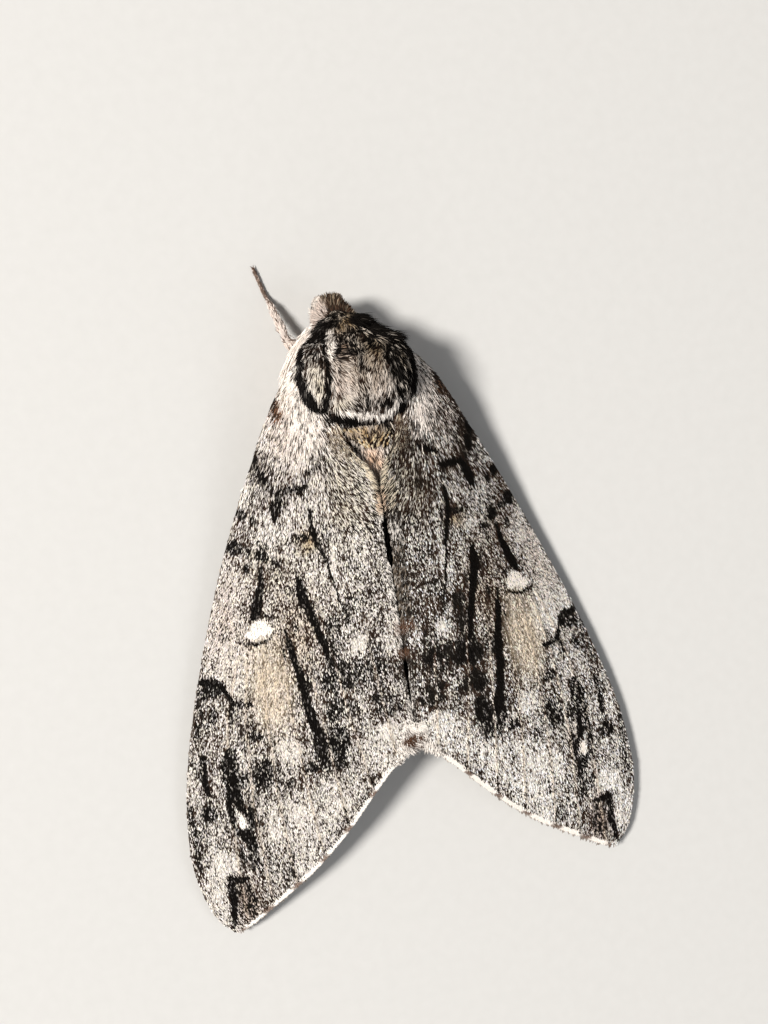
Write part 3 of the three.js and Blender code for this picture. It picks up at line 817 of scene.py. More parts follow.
def plain_scales(name, side, plan, top, drop, colours, seed, spacing):
    """Larger, sparser scales for faces that the folded wings hide: an upper one if it has no drop."""
    rng = np.random.default_rng(seed)
    x, y = scattered(plan, spacing, spacing * 1.3, rng)
    draw = draws(rng, x.shape)
    tip_x, tip_y = moved(x, y, wing_lie(x, y), draw(0.45, 0.65))
    facing = -1 if drop else 1
    mix = noise(seed + 1, x / 0.8, y / 2.0) * 0.6 + draw(0, 0.4)
    colour = blended(*colours, rise(mix, 0.25, 0.5))
    wing_tufts(name, side, (x, y, -0.01 * facing), (tip_x, tip_y, 0.06 * facing), draw(0.17, 0.24), 0.04,
               colour, wing_uv(plan, x, y), top=top, drop=drop, facing=facing)


FRINGE_SCALES = 5200


def fringe(name, side, seed):
    """The fringe on the rear edge: white scales, with brown ones at the ends of the veins."""
    rng, draw = dice(seed, FRINGE_SCALES)
    y = draw(-33.75, -17.6)
    slope = (fore_inner(y + 0.05) - fore_inner(y - 0.05)) / 0.1
    outward = unit(vectors(-1.0, slope))
    x, y = moved(fore_inner(y), y, outward, -draw(0.16, 0.38))
    lie = unit(outward + rng.normal(0, 0.16, outward.shape))
    tip_x, tip_y = moved(x, y, lie, draw(0.28, 0.42))
    lift = draw(0.0, 0.1)
    brown = smooth(1 - 1.6 * between_ticks(y)) * draw(0.75, 1.0)
    colour = blended(WHITE * 1.05, BROWN * 0.6, brown)
    uv = vectors(draw(), (y + 33.8) / 16.8)
    wing_tufts(f"forewing_{name}_fringe", side, (x, y, 0.03), (np.maximum(tip_x, 0.05), tip_y, lift),
               draw(0.09, 0.14), 0.04, colour, uv)


BASE_HAIRS = 6000  # before those outside the tuft are left out
BASE_HAIR_REACH = {"left": 1.0, "right": 0.55}  # the right tuft is the narrower one, partly as painted shade on the right wing's base


def base_hair(name, side, seed):
    """Long white hair that spreads back from under the shoulder pad over the wing's base."""
    rng, draw = dice(seed, BASE_HAIRS)
    x, y = draw(3.0, 9.0), draw(7.0, 17.0)
    spread = soft_spot(x, y, 5.8, 13.4, 1.6 * BASE_HAIR_REACH[name], 3.2)
    spread = spread + 0.7 * soft_spot(x, y, 4.9, 10.8, 1.0, 1.3)
    kept = (draw() < spread) & (x < costa_x(y) - 0.25) & (x > fore_inner(y) - 0.4)
    x, y = x[kept], y[kept]
    draw = draws(rng, x.shape)
    lie = unit(wing_lie(x, y) + vectors((x - 6.0) * 0.12, 0.0) + rng.normal(0, 0.12, (len(x), 2)))
    tip_x, tip_y = moved(x, y, lie, draw(0.7, 1.25))
    lift = draw(0.05, 0.16)
    shade = 0.7 * draw() + 0.5 * noise(seed + 3, x / 0.25, y / 0.9) - 0.1
    shade = shade + 0.12 * rise(x, 6.2, 1.5) + 0.15 * fall(y, 11.5, 2)
    # On the right more of the hairs are dark, partly as painted shade on the wing's base.
    if side > 0:
        shade = shade + 0.2 * rise(x, 5.0, 1.2)
    colour = evenly_blended(WHITE * 1.04, DARK, 0.9 * rise(shade, 0.56, 0.28))
    colour = blended(colour, PINK, 0.35 * draw() * (colour[:, 0] > 0.4))
    marked = spot(x, y, 7.2, 13.6, 0.55, 1.2) > draw(0.05, 1.05)
    colour[marked] = blended(DARK * 0.6, BROWN * 1.5, rng.random(marked.sum()) ** 2)
    wing_tufts(f"forewing_{name}_base_hair", side, (x, y, 0.02), (tip_x, tip_y, lift), draw(0.08, 0.12),
               0.05, colour, wing_uv(BASE_PLAN, x, y), bend=0.03)


INNER_HAIRS = 4600
INNER_GREY = np.array((0.20, 0.15, 0.105))


def inner_fringe(name, side, seed):
    """The hair on the inner edges, which closes the gap between the folded wings in its middle."""
    rng, draw = dice(seed, INNER_HAIRS)
    y = draw(-17.6, 10.5)
    wide = draw() < 0.55 * within(y, -8.5, 6.5, 1.5, 2.0) * (side > 0)
    x = fore_inner(y) + draw(-0.02, 0.35) + wide * draw()
    rear_gap = within(y, -15.2, -10.0, 1.5, 0.6) * (1 - 0.5 * fall(y, -11.4, 0.8))
    gap = np.maximum(within(y, -1.9, 3.0, 0.8, 0.8), rear_gap)
    tawny = within(y, 2.7, 8.5, 0.9, 1.2)
    inward = draw(0.15, 0.75) * (1 - 0.85 * gap) + 0.8 * tawny
    length = draw(0.45, 0.8) + 0.35 * rise(y, 3, 3)
    tip_x, tip_y = moved(x, y, unit(vectors(-inward, -1.0)), length)
    tip_x = np.maximum(tip_x, draw(-0.08, 0.06) + 0.2 * gap)
    lift = draw(-0.10, 0.14) + 0.12 * wide
    level = 0.5 + 0.5 * (noise(seed, y / 1.3, x / 2) - 0.5)
    level = level + 0.25 * within(y, -15, -8, 2, 1) - 0.22 * tawny
    pale = blended(WHITE * 0.95, blended(TAN, CREAM, draw()), 0.8 * rise(y, 2.5, 1.0))
    pale = blended(pale, APRICOT, 0.7 * tawny * fall(x, 1.02, 0.4))
    if side > 0:
        grey = within(y, -9.0, 1.0, 2.0, 1.0)
        pale = blended(pale, INNER_GREY, grey * (1 - 0.8 * draw() ** 2))
        level = level + 0.1
    else:
        level = level - 0.4 * smooth(1.3 - np.abs(y + 6.6))
    colour = peppered(pale, DARK * 0.6, level, draw(), 0.5)
    rusty = np.maximum(peak(y, -7.4, 1.0), peak(y, -9.7, 0.7))
    colour = blended(colour, BROWN * 0.8, rusty * draw(0.4, 1.0))
    uv = vectors(draw(), (y + 18) / 29)
    wing_tufts(f"forewing_{name}_inner_fringe", side, (x, y, -0.03), (tip_x, tip_y, lift),
               draw(0.09, 0.13), 0.045, colour, uv, bend=0.03)


TORNAL_HAIRS = 1500
TORNAL_REACH = {"left": -1.65, "right": 0.02}  # the left tuft lies over the middle


def tornal_tuft(name, side, seed):
    """Fluffy white hair at the rear inner corner of a forewing, with a rusty patch on the left."""
    rng, draw = dice(seed, TORNAL_HAIRS)
    y = draw(-20.2, -16.6)
    x = np.maximum(fore_inner(y) + draw(-0.25, 0.75), 0.1)
    over = fall(x, 1.0, 0.5) * (side < 0)
    lie = unit(vectors(-(0.3 + 1.5 * over), -1.0) + rng.normal(0, 0.3, (TORNAL_HAIRS, 2)))
    length = draw(0.5, 1.1) * (0.5 + 0.5 * fall(x, 1.6, 0.8) + 0.65 * over)
    tip_x, tip_y = moved(x, y, lie, length)
    roots = (x, y, draw(-0.12, 0.05))
    tips = (np.maximum(tip_x, TORNAL_REACH[name]), tip_y, draw(-0.05, 0.25))
    streak = 0.6 * noise(seed + 1, x / 0.25, y / 0.35) + 0.4 * draw()
    rusty = 0.05 + 0.95 * spot(x, y, 0.55, -18.0, 0.85, 0.75) * (side < 0)
    colour = blended(WHITE * 1.05, BROWN * 0.5, rusty * rise(streak, 0.25, 0.2))
    speck = draw() < 0.12 + 0.25 * rise(x, 1.2, 0.8)
    colour = np.where(speck[:, None], MID_GREY * 0.7, colour) * draw(0.75, 1.1)[:, None]
    uv = vectors(draw(), (y + 20.4) / 3.8)
    wing_tufts(f"forewing_{name}_tornal_tuft", side, roots, tips, draw(0.08, 0.13), 0.045,
               colour, uv, bend=0.05)


def add_wings():
    for name, side in SIDES.items():
        seed = 20 + 7 * side
        # The membrane has the wing's colours at half brightness: painted shade in the gaps between the
        # scales.
        fore = wing_skin(f"forewing_{name}_skin", side, FORE_PLAN, forewing_top,
                         lambda x, y: wing_colours(x, y) * 0.5, 60, 170)
        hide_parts(f"forewing_{name}")
        hind = wing_skin(f"hindwing_{name}_skin", side, HIND_PLAN, hindwing_top,
                         lambda x, y: MID_GREY, 24, 50)
        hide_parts(f"hindwing_{name}")
        upper_scales(name, side, 100 + seed)
        plain_scales(f"forewing_{name}_under_scales", side, FORE_PLAN, forewing_top, WING_THICKNESS,
                     (PALE_GREY, MID_GREY), 200 + seed, 0.19)
        plain_scales(f"hindwing_{name}_upper_scales", side, HIND_PLAN, hindwing_top, 0,
                     (MID_GREY, DARK), 300 + seed, 0.24)
        plain_scales(f"hindwing_{name}_under_scales", side, HIND_PLAN, hindwing_top, WING_THICKNESS,
                     (PALE_GREY, MID_GREY), 320 + seed, 0.2)
        fringe(name, side, 340 + seed)
        inner_fringe(name, side, 360 + seed)
        base_hair(name, side, 380 + seed)
        tornal_tuft(name, side, 420 + seed)


# ------------------------------------------------------------------ body skin
FRONT_ROUNDING = 0.045
TAIL_ROUNDING = 0.11
BLUNTNESS = 0.55
TEGULA = (4.1, 15.3, 1.55, 3.3, 0.1)  # a shoulder pad's middle, half width, half length and lean
TEGULA_FLOOR = 5.6
SEGMENT_EDGES = np.linspace(8.8, -19.6, 8)  # of the abdomen's rings, from front to tail
VOXEL = 0.15


def skin_relief(x, y, z):
    """How far the skin stands out from the plain trunk: pads, hood and the abdomen's rings."""
    reach = np.hypot(*in_ellipse(np.abs(x), y, *TEGULA))
    pad = 0.34 * (1 - rise(reach, 0.7, 0.3)) - 0.32 * peak(reach, 1.08, 0.14)
    hood_edge = 21.45 - 0.55 * np.abs(x - midline(y))
    hood = 0.22 * fall(y, hood_edge, 0.5) * rise(y, 18.9, 0.5) * rise(z, 5.6, 0.8)
    neck = -0.3 * peak(y, 19.0, 0.35) * rise(z, 6.4, 0.6)
    to_edge = np.min(np.abs(y[..., None] - (SEGMENT_EDGES - 0.25)), axis=-1)
    ring = -0.13 * peak(to_edge, 0, 0.35) * fall(y, 9.5, 1.0)
    rear_step = -0.3 * peak(y, 10.9, 0.5) * rise(z, 5, 1.0)
    return pad * rise(z, TEGULA_FLOOR, 0.8) + hood + neck + ring + rear_step


def round_angles(sides):
    return np.linspace(0, 2 * np.pi, sides, endpoint=False)


def ring_faces(rings, sides):
    """Triangles of a closed tube of rings, with a point at each end after the rings' own."""
    index = np.arange(rings * sides).reshape(rings, sides)
    after = np.roll(index, -1, axis=1)
    first, last = rings * sides, rings * sides + 1
    parts = [
        vectors(index[:-1], after[:-1], index[1:]), vectors(after[:-1], after[1:], index[1:]),
        vectors(index[0], first, after[0]), vectors(after[-1], last, index[-1]),
    ]
    return np.concatenate([part.reshape(-1, 3) for part in parts])


def trunk_shell(rings=190, sides=96):
    """The trunk without its coat, as closed rings from the front to the tail."""
    share = (1 - np.cos(np.pi * np.linspace(0, 1, rings + 2)[1:-1])) / 2
    front, tail = FRONT_Y - 0.25, TAIL_Y + 0.2
    at, angle = np.broadcast_arrays((front + share * (tail - front))[:, None], round_angles(sides))
    end = np.minimum(1, np.minimum(share / FRONT_ROUNDING, (1 - share) / TAIL_ROUNDING)) ** BLUNTNESS
    end = end[:, None]
    middle, half_width, half_height = trunk_section(at, COAT_DEPTH(at))
    x = midline(at) + half_width * end * np.cos(angle)
    z = middle + half_height * end * np.sin(angle)
    out = skin_relief(x, at, z) * end
    x, z = x + out * np.cos(angle), z + out * np.sin(angle)
    ends = np.array([(midline(front), front + 0.02, np.mean(z[0])), (0, tail - 0.02, np.mean(z[-1]))])
    return np.concatenate([vectors(x, at, z).reshape(-1, 3), ends]), ring_faces(rings, sides)


def swept(path, radius, sides=14):
    """A closed round tube along a path of points, with one radius for each point."""
    path = np.asarray(path, float)
    way = unit(np.gradient(path, axis=0))
    across = unit(np.cross(way[0], (0.3, 0.2, 0.93)))
    angle = round_angles(sides)[:, None]
    rings = []
    for point, ahead, r in zip(path, way, radius):
        across = unit(across - ahead * np.dot(across, ahead))
        upward = np.cross(ahead, across)
        rings.append(point + r * (np.cos(angle) * across + np.sin(angle) * upward))
    ends = np.array([path[0] - way[0] * radius[0] * 0.5, path[-1] + way[-1] * radius[-1] * 0.5])
    return np.concatenate(rings + [ends]), ring_faces(len(path), sides)[:, ::-1]


def curved(points, count):
    """A smooth path through a few points."""
    points = np.asarray(points, float)
    ends = [2 * points[0] - points[1], *points, 2 * points[-1] - points[-2]]
    at = np.linspace(0, len(points) - 1, count)
    i = np.minimum(at.astype(int), len(points) - 2)
    t = (at - i)[:, None]
    p = [np.array(ends)[i + k] for k in range(4)]
    return 0.5 * (2 * p[1] + (p[2] - p[0]) * t + (2 * p[0] - 5 * p[1] + 4 * p[2] - p[3]) * t ** 2
                  + (3 * p[1] - p[0] - 3 * p[2] + p[3]) * t ** 3)


# ------------------------------------------------------------------ legs
TARSUS_Z = 0.24
# Hip, knee, ankle and toe of each leg. The middle and hind pairs are alike on both sides.
LEGS = {
    "fore_left": [(-2.5, 18.2, 2.0), (-5.0, 18.9, 2.6), (-5.8, 22.6, 1.0), (-6.7, 26.1, TARSUS_Z)],
    "fore_right": [(2.6, 17.6, 2.1), (4.4, 16.9, 2.6), (5.9, 15.2, 1.1), (7.0, 11.7, TARSUS_Z)],
}
LEG_PAIRS = {
    "mid": [(3.6, 14.0, 1.8), (6.2, 12.0, 2.1), (7.6, 6.4, 0.95), (9.0, 0.9, TARSUS_Z)],
    "hind": [(3.2, 10.2, 1.4), (5.5, 6.2, 1.9), (6.6, -1.2, 0.95), (7.4, -8.0, TARSUS_Z)],
}
for leg_name, leg_side in SIDES.items():
    for pair, pair_joints in LEG_PAIRS.items():
        LEGS[f"{pair}_{leg_name}"] = [(x * leg_side, y, z) for x, y, z in pair_joints]
LEG_COAT = 0.09
LEG_REACH = 0.62  # skin this near a leg's middle is the leg's
FOOT_FROM = 0.62  # where along a leg its colour and coat turn to those of the foot
KNEE_HAIR = 0.85  # longer hair round the stretched fore leg's knee, which hides it beside the shoulder
KNEE_LIE = np.array((0.45, -1.0, 0.05))
TARSOMERES = 5


def joints_of(leg):
    return [np.array(joint, float) for joint in LEGS[leg]]


def foot_path(ankle, toe, count=40):
    heel = np.array((ankle[0], ankle[1], toe[2]))
    on_floor = [heel + (toe - heel) * s + (0, 0, up) for s, up in ((0.25, 0.12), (0.5, 0.0), (0.75, 0.0))]
    return curved([ankle, *on_floor, toe], count)


def leg_tubes(leg):
    """The femur, tibia and tarsus of one leg, each as (path, radii)."""
    hip, knee, ankle, toe = joints_of(leg)
    share = np.linspace(0, 1, 30)
    femur = hip + (knee - hip) * share[:, None]
    tibia = knee + (ankle - knee) * share[:, None]
    foot = foot_path(ankle, toe)
    along = np.linspace(0, 1, len(foot))
    beads = 0.035 * np.abs(np.sin(np.pi * TARSOMERES * along)) ** 0.5
    return [
        (femur, 0.58 - 0.2 * share - LEG_COAT),
        (tibia, 0.4 + 0.08 * np.sin(np.pi * share) - 0.1 * share - LEG_COAT),
        (foot, 0.185 - 0.03 * along + beads),
    ]


def palp_shell(side):
    """An upturned palp hugging the face."""
    centre = np.array((midline(21.5) + side * 0.84, 21.5, 3.5))
    share = np.linspace(0, 1, 22)
    bow = vectors(0.1 * side * np.sin(np.pi * share), 0.25 * np.sin(np.pi * share), 0)
    low, high = centre + (0, -0.95, -1.15), centre + (-0.1 * side, 0.75, 1.0)
    path = low + (high - low) * share[:, None] + bow
    radius = 0.58 * np.sqrt(np.clip(1 - (2 * share - 1) ** 2, 0.03, 1)) ** 0.8
    return swept(path, radius, 16)


def joined(shells):
    """Several closed shells as one mesh, as (vertices, triangles)."""
    offsets = np.cumsum([0] + [len(points) for points, _ in shells])
    faces = [triangles + offset for (_, triangles), offset in zip(shells, offsets)]
    return np.concatenate([points for points, _ in shells]), np.concatenate(faces)


def voxel_skin(shells):
    """One closed skin round several overlapping shells, as (vertices, quads) in millimetres."""
    vertices, faces = joined(shells)
    mesh = bpy.data.meshes.new("shells")
    mesh.from_pydata(vertices.tolist(), [], faces.tolist())
    rough = added("shells", mesh)
    remesh = rough.modifiers.new("remesh", "REMESH")
    remesh.mode = "VOXEL"
    remesh.voxel_size = VOXEL
    relax = rough.modifiers.new("relax", "SMOOTH")
    relax.factor = 0.5
    relax.iterations = 3
    made = rough.evaluated_get(bpy.context.evaluated_depsgraph_get()).to_mesh()
    points = np.empty(len(made.vertices) * 3)
    made.vertices.foreach_get("co", points)
    quads = np.array([p.vertices[:] for p in made.polygons if len(p.vertices) == 4])
    rough.to_mesh_clear()
    bpy.data.objects.remove(rough)
    bpy.data.meshes.remove(mesh)
    return points.reshape(-1, 3), quads


# ------------------------------------------------------------------ marks of the body
# Black lines on the back, as (strength, path): the pads' rims, the hood's edge and the rear band.
BODY_LINES = {
    "right arc": (1.0, [
        (0.9, 20.1, 0.3), (2.2, 19.4, 0.8), (3.5, 18.9, 1.0), (4.5, 18.2, 0.9), (5.1, 17.0, 0.8),
        (5.3, 15.4, 0.9), (5.25, 13.8, 1.0), (4.9, 12.2, 0.9),
    ]),
    "left rim": (1.0, [
        (-3.0, 19.4, 0.4), (-4.3, 18.9, 0.5), (-4.9, 18.2, 0.45), (-5.1, 17.2, 0.4), (-5.05, 16.2, 0.6),
        (-5.15, 15.4, 1.0), (-5.1, 14.4, 1.25), (-4.9, 13.2, 1.5), (-4.5, 12.4, 1.5), (-3.9, 11.9, 1.2),
    ]),
    "left inner rim": (1.0, [
        (-2.2, 19.2, 0.5), (-2.6, 17.9, 0.35), (-2.85, 16.8, 0.32), (-3.0, 15.2, 0.35), (-3.2, 14.0, 0.4),
        (-3.5, 13.0, 0.5), (-3.5, 11.9, 0.6),
    ]),
    "right inner rim": (0.85, [
        (2.6, 18.2, 0.5), (2.7, 16.5, 0.4), (2.9, 14.5, 0.4), (3.3, 12.8, 0.5), (3.2, 11.8, 0.5),
    ]),
    "hood's edge, left": (0.9, [(-1.25, 21.7, 0.3), (-1.9, 21.1, 0.3), (-2.6, 20.3, 0.4)]),
    "hood's edge, right": (0.9, [(-1.25, 21.7, 0.3), (-0.3, 21.3, 0.3), (0.9, 20.5, 0.4)]),
    "behind the white band": (1.0, [
        (-3.2, 11.8, 0.8), (-2.2, 11.45, 0.7), (-1.0, 11.1, 0.6), (0.3, 10.8, 0.6), (1.3, 10.55, 0.6),
        (2.2, 10.75, 0.7), (3.1, 11.5, 0.8),
    ]),
}
PAD_RIM = {"left": 0.87, "right": 0.80}  # where the pads' black rims begin, as a share of the half width
# White lines on the back, which take away the dark hairs.
WHITE_LINES = [
    [
        (-2.3, 12.1, 0.25), (-1.2, 11.8, 0.3), (0.0, 11.5, 0.35), (1.2, 11.2, 0.45), (2.0, 11.5, 0.35),
        (2.8, 12.2, 0.2),
    ],
    [(-1.75, 19.0, 0.5), (-2.1, 17.9, 0.75), (-2.45, 16.8, 0.55)],
]
# Dark patches, pale patches and tints, as on the wings.
BODY_DARKS = {
    "left of the hood": (0.9, -2.4, 19.7, 0.9, 0.65),
    "right shoulder": (1.0, 2.1, 19.2, 2.1, 0.95, -0.45),
    "right pad": (0.7, 3.7, 15.8, 1.3, 3.0, 0.1),
    # Painted shade: the back of the abdomen is darkened where it shows between the folded wings.
    "painted shade between the wings": (0.95, 0.0, -5.0, 1.0, 8.5),
    "left pad, front": (0.3, -3.9, 17.5, 0.8, 1.4),
    "left pad, tip": (0.95, -3.3, 18.8, 1.3, 0.65, 0.35),
    "disc, front left": (0.5, -1.3, 17.2, 0.9, 1.0),
    "disc, front": (0.45, 0.4, 17.7, 1.9, 1.1),
    "disc, middle": (0.3, -0.2, 16.4, 0.4, 1.6),
    "disc, right": (0.62, 1.8, 17.0, 1.0, 1.3),
    "disc, rear": (0.5, 0.8, 12.5, 2.0, 0.45),
    "crown": (0.62, -0.3, 20.0, 1.6, 1.2),
    "behind the gold": (0.6, 0.6, 9.1, 1.3, 0.4),
}
BODY_LIGHTS = {
    "white tuft": (1.0, -2.15, 17.8, 0.28, 1.0, -0.25),
    "disc, pale left": (0.75, -1.8, 14.6, 1.2, 1.3),
    "disc, pale right": (0.7, 1.3, 14.1, 1.2, 1.2),
    "left pad, cream": (0.35, -3.7, 14.8, 0.55, 1.9, 0.1),
    "cream tufts": (0.7, -2.2, 12.7, 0.9, 0.5, 0.2),
    "golden crown": (0.15, -0.4, 19.5, 0.9, 0.7),
    "golden disc": (0.2, 1.4, 16.3, 0.9, 1.0),
    "gold rows": (0.3, -0.6, 10.2, 2.3, 0.55),
    "buff tuft": (0.8, -0.1, 7.2, 1.1, 2.3),
    "snout": (0.6, -1.2, 22.1, 1.8, 0.7),
}
BODY_TINTS = [
    (TAN * 0.6, 1.0, -0.4, 20.0, 1.7, 1.5),
    (GOLD * 0.65, 1.0, -0.2, 19.4, 1.4, 1.2),
    (TAN * 0.5, 1.0, 3.7, 15.6, 1.2, 3.0, 0.1),
    (TAN * 0.8, 0.6, -0.8, 21.6, 1.8, 1.1),
    (GOLD * 0.8, 1.2, 1.4, 16.6, 1.1, 1.3),
    (PINK, 0.5, -1.8, 14.5, 1.2, 1.3),
    (PINK, 0.4, 1.3, 14.0, 1.2, 1.2),
    (BROWN * 1.7, 0.9, -1.3, 17.1, 0.9, 1.0),
    (TAN * 0.75, 0.8, 0.6, 17.6, 1.8, 1.1),
    (TAN * 0.7, 0.7, 0.3, 15.4, 2.6, 2.6),
    (BROWN, 0.4, 0.9, 12.4, 1.9, 0.5),
    (CREAM, 0.6, -3.7, 14.8, 0.7, 2.0, 0.1),
    (CREAM, 0.5, -2.2, 12.7, 0.9, 0.5, 0.2),
    (GOLD * 0.7, 1.0, -0.3, 10.1, 2.6, 0.7),
    (APRICOT, 1.2, -0.1, 7.4, 1.1, 1.8),
    (CREAM * 0.9, 0.9, -0.3, 4.8, 0.9, 1.3),
    (TAN, 0.6, 0.1, 3.0, 1.0, 4.0),
    (BROWN, 0.5, 0.0, -6.0, 1.0, 3.0),
]


def body_look(points, normals):
    """Darkness and the colour of the pale hairs at places of the body's skin."""
    x, y, z = points.T
    mx = x + 0.3 * (noise(61, x / 0.5, y / 0.5, z / 0.5) - 0.5)
    my = y + 0.25 * (noise(62, x / 0.4, y / 0.4, z / 0.4) - 0.5)
    level = 0.5 + 0.6 * (noise(63, x / 0.6, y / 0.9, z / 0.6) - 0.5)
    level = patched(level, mx, my, BODY_DARKS, BODY_LIGHTS)
    pale = blended(WHITE * 0.95, PALE_GREY, 0.5 * noise(64, x / 0.3, y / 0.6, z / 0.3))
    pale = tinted(pale, mx, my, BODY_TINTS, 0.4 + 0.8 * noise(66, x / 0.4, y / 0.7, z / 0.4))
    for strength, path in BODY_LINES.values():
        level = level + (1 - level) * strength * line(mx, my, path)
    beside = (mx - midline(my)) / trunk_half_width(my)
    rim = np.maximum(rise(-beside, PAD_RIM["left"], 0.05), rise(beside, PAD_RIM["right"], 0.05))
    level = level + (1 - level) * rim * within(y, 12.6, 19.8, 0.5, 0.4)
    for path in WHITE_LINES:
        band = line(mx, my, path)
        level, pale = level * (1 - band), blended(pale, WHITE * 1.05, band)
    back = rise(z, flank_z(y), 0.4)
    low = rise(normals[:, 2], -0.75, 0.7)
    flank_pale = blended(blended(WHITE, PINK, 0.18), PALE_GREY, 0.35 * (1 - low))
    flank_level = 0.10 + 0.16 * noise(65, x / 0.6, y / 0.9, z / 0.6)
    flank_level = flank_level + 0.25 * fall(y, 9, 3) * low
    return flank_level + (level - flank_level) * back, blended(flank_pale, pale, back)


def brow_share(points):
    """1 on the sides of the crown, whose hair overhangs the eyes."""
    x, y, z = points.T
    sides = rise(np.abs(x - midline(y)), 0.7, 0.5)
    return sides * within(z, 4.9, 6.9, 0.5, 0.5) * within(y, 19.2, 21.9, 0.4, 0.3)


def palp_share(points):
    """1 on the palps, whose scales lie flat."""
    return rise(points[:, 1], 21.0, 0.4) * fall(points[:, 2], 4.9, 0.3)


def shoulder_share(points):
    """1 on the right of the neck, whose hair stands out as the head turns to the left."""
    x, y, z = points.T
    beside = (x - midline(y)) / trunk_half_width(y)
    return rise(beside, 0.35, 0.3) * within(y, 17.4, 20.8, 0.6, 0.4) * rise(z, 5.0, 0.6)


def turned_to(lie, direction, share):
    return lie * (1 - share)[:, None] + np.asarray(direction) * share[:, None]


def body_lie(points, normals):
    """Direction of the hairs over the skin."""
    x, y, z = points.T
    across = x - midline(y)
    disc = fall(np.abs(across), 2.9, 0.8) * within(y, 11.8, 18.8, 0.8, 1.2)
    parting = -0.95 * disc * np.clip(across / 1.6, -1, 1) * smooth(np.abs(across) / 0.7)
    curl = smooth(1 - np.hypot((across + 1.5) / 1.1, (y - 17.1) / 0.9))
    crown = 0.9 * within(y, 19.0, 21.2, 0.8, 0.6) * np.clip(across / 1.2, -1, 1)
    lie = vectors(parting + 1.4 * curl + crown, 0.5 * curl - 1, 0.0)
    lie = turned_to(lie, vectors(0.3 * across, 1.0, -0.5), rise(y, 20.8, 0.5))
    lie = turned_to(lie, vectors(np.sign(across), 0.55, -0.1), brow_share(points))
    lie = turned_to(lie, (0.9, -0.1, 0.0), shoulder_share(points))
    lie = turned_to(lie, (0, 0.35, 1.0), palp_share(points))
    swirl = 0.9 * (noise(71, x / 1.1, y / 1.1, z / 1.1) - 0.5)
    return along_skin(lie + np.cross(normals, lie) * swirl[:, None], normals)


# ------------------------------------------------------------------ body coat
def inside_trunk(points, margin):
    x, y, z = points.T
    middle, half_width, half_height = trunk_section(y, COAT_DEPTH(y) - margin)
    return np.hypot((x - midline(y)) / half_width, (z - middle) / half_height) < 1


def leg_share(points):
    """For each place the nearest leg's number, how far along it, its direction, and if it is on it."""
    best = np.full(len(points), 1e9)
    which, along = np.zeros(len(points), int), np.zeros(len(points))
    direction = np.zeros((len(points), 3))
    for number, leg in enumerate(LEGS):
        path = joints_of(leg)
        for part, (a, b) in enumerate(zip(path, path[1:])):
            t = np.clip(((points - a) @ (b - a)) / ((b - a) @ (b - a)), 0, 1)
            distance = np.linalg.norm(points - a - t[:, None] * (b - a), axis=1)
            closer = distance < best
            best[closer], which[closer], along[closer] = distance[closer], number, (part + t[closer]) / 3
            direction[closer] = unit(b - a)
    return which, along, direction, (best < LEG_REACH) & ~inside_trunk(points, 0.12)


def sampled(points, triangles, density, rng):
    """Places on the skin with their normals, by each triangle's density."""
    a, b, c = points[triangles[:, 0]], points[triangles[:, 1]], points[triangles[:, 2]]
    cross = np.cross(b - a, c - a)
    area = np.linalg.norm(cross, axis=1) / 2
    expected = area * density((a + b + c) / 3)
    counts = np.floor(expected + rng.random(len(expected))).astype(int)
    chosen = np.repeat(np.arange(len(triangles)), counts)
    u, v = rng.random(len(chosen)), rng.random(len(chosen))
    over = u + v > 1
    u[over], v[over] = 1 - u[over], 1 - v[over]
    place = a[chosen] + u[:, None] * (b - a)[chosen] + v[:, None] * (c - a)[chosen]
    return place, unit(cross[chosen])


LEG_DENSITY = 34
HIDDEN_DENSITY = 7  # on the back under the folded wings


def coat_density(points):
    """Hairs for each square millimetre of skin."""
    x, y, z = points.T
    on_leg = leg_share(points)[-1]
    trunk = 20 + 60 * rise(y, 8, 2.5) + 35 * rise(y, 18.5, 1.0)
    trunk = np.where((z > 5.0) & (y < 7) & (np.abs(x) > 1.6), HIDDEN_DENSITY, trunk)
    below = fall(z, 3.0, 1.0) * rise(y, 8, 2.5)
    return np.where(on_leg, LEG_DENSITY, trunk * (1 - 0.45 * below))


def hair_piece(name, place, normal, lie, length, width, lift, colour, uv, material, slot):
    root = place - normal * 0.04
    tip = place + (lie * np.cos(lift)[:, None] + normal * np.sin(lift)[:, None]) * length[:, None]
    tip[:, 2] = np.maximum(tip[:, 2], 0.02)
    tufts(name, root, tip, normal, width, width * 0.45, colour, uv, material, bend=0.10)


HEAD_REAR, THORAX_REAR = 18.7, 11.0  # where the body's coat is cut into pieces


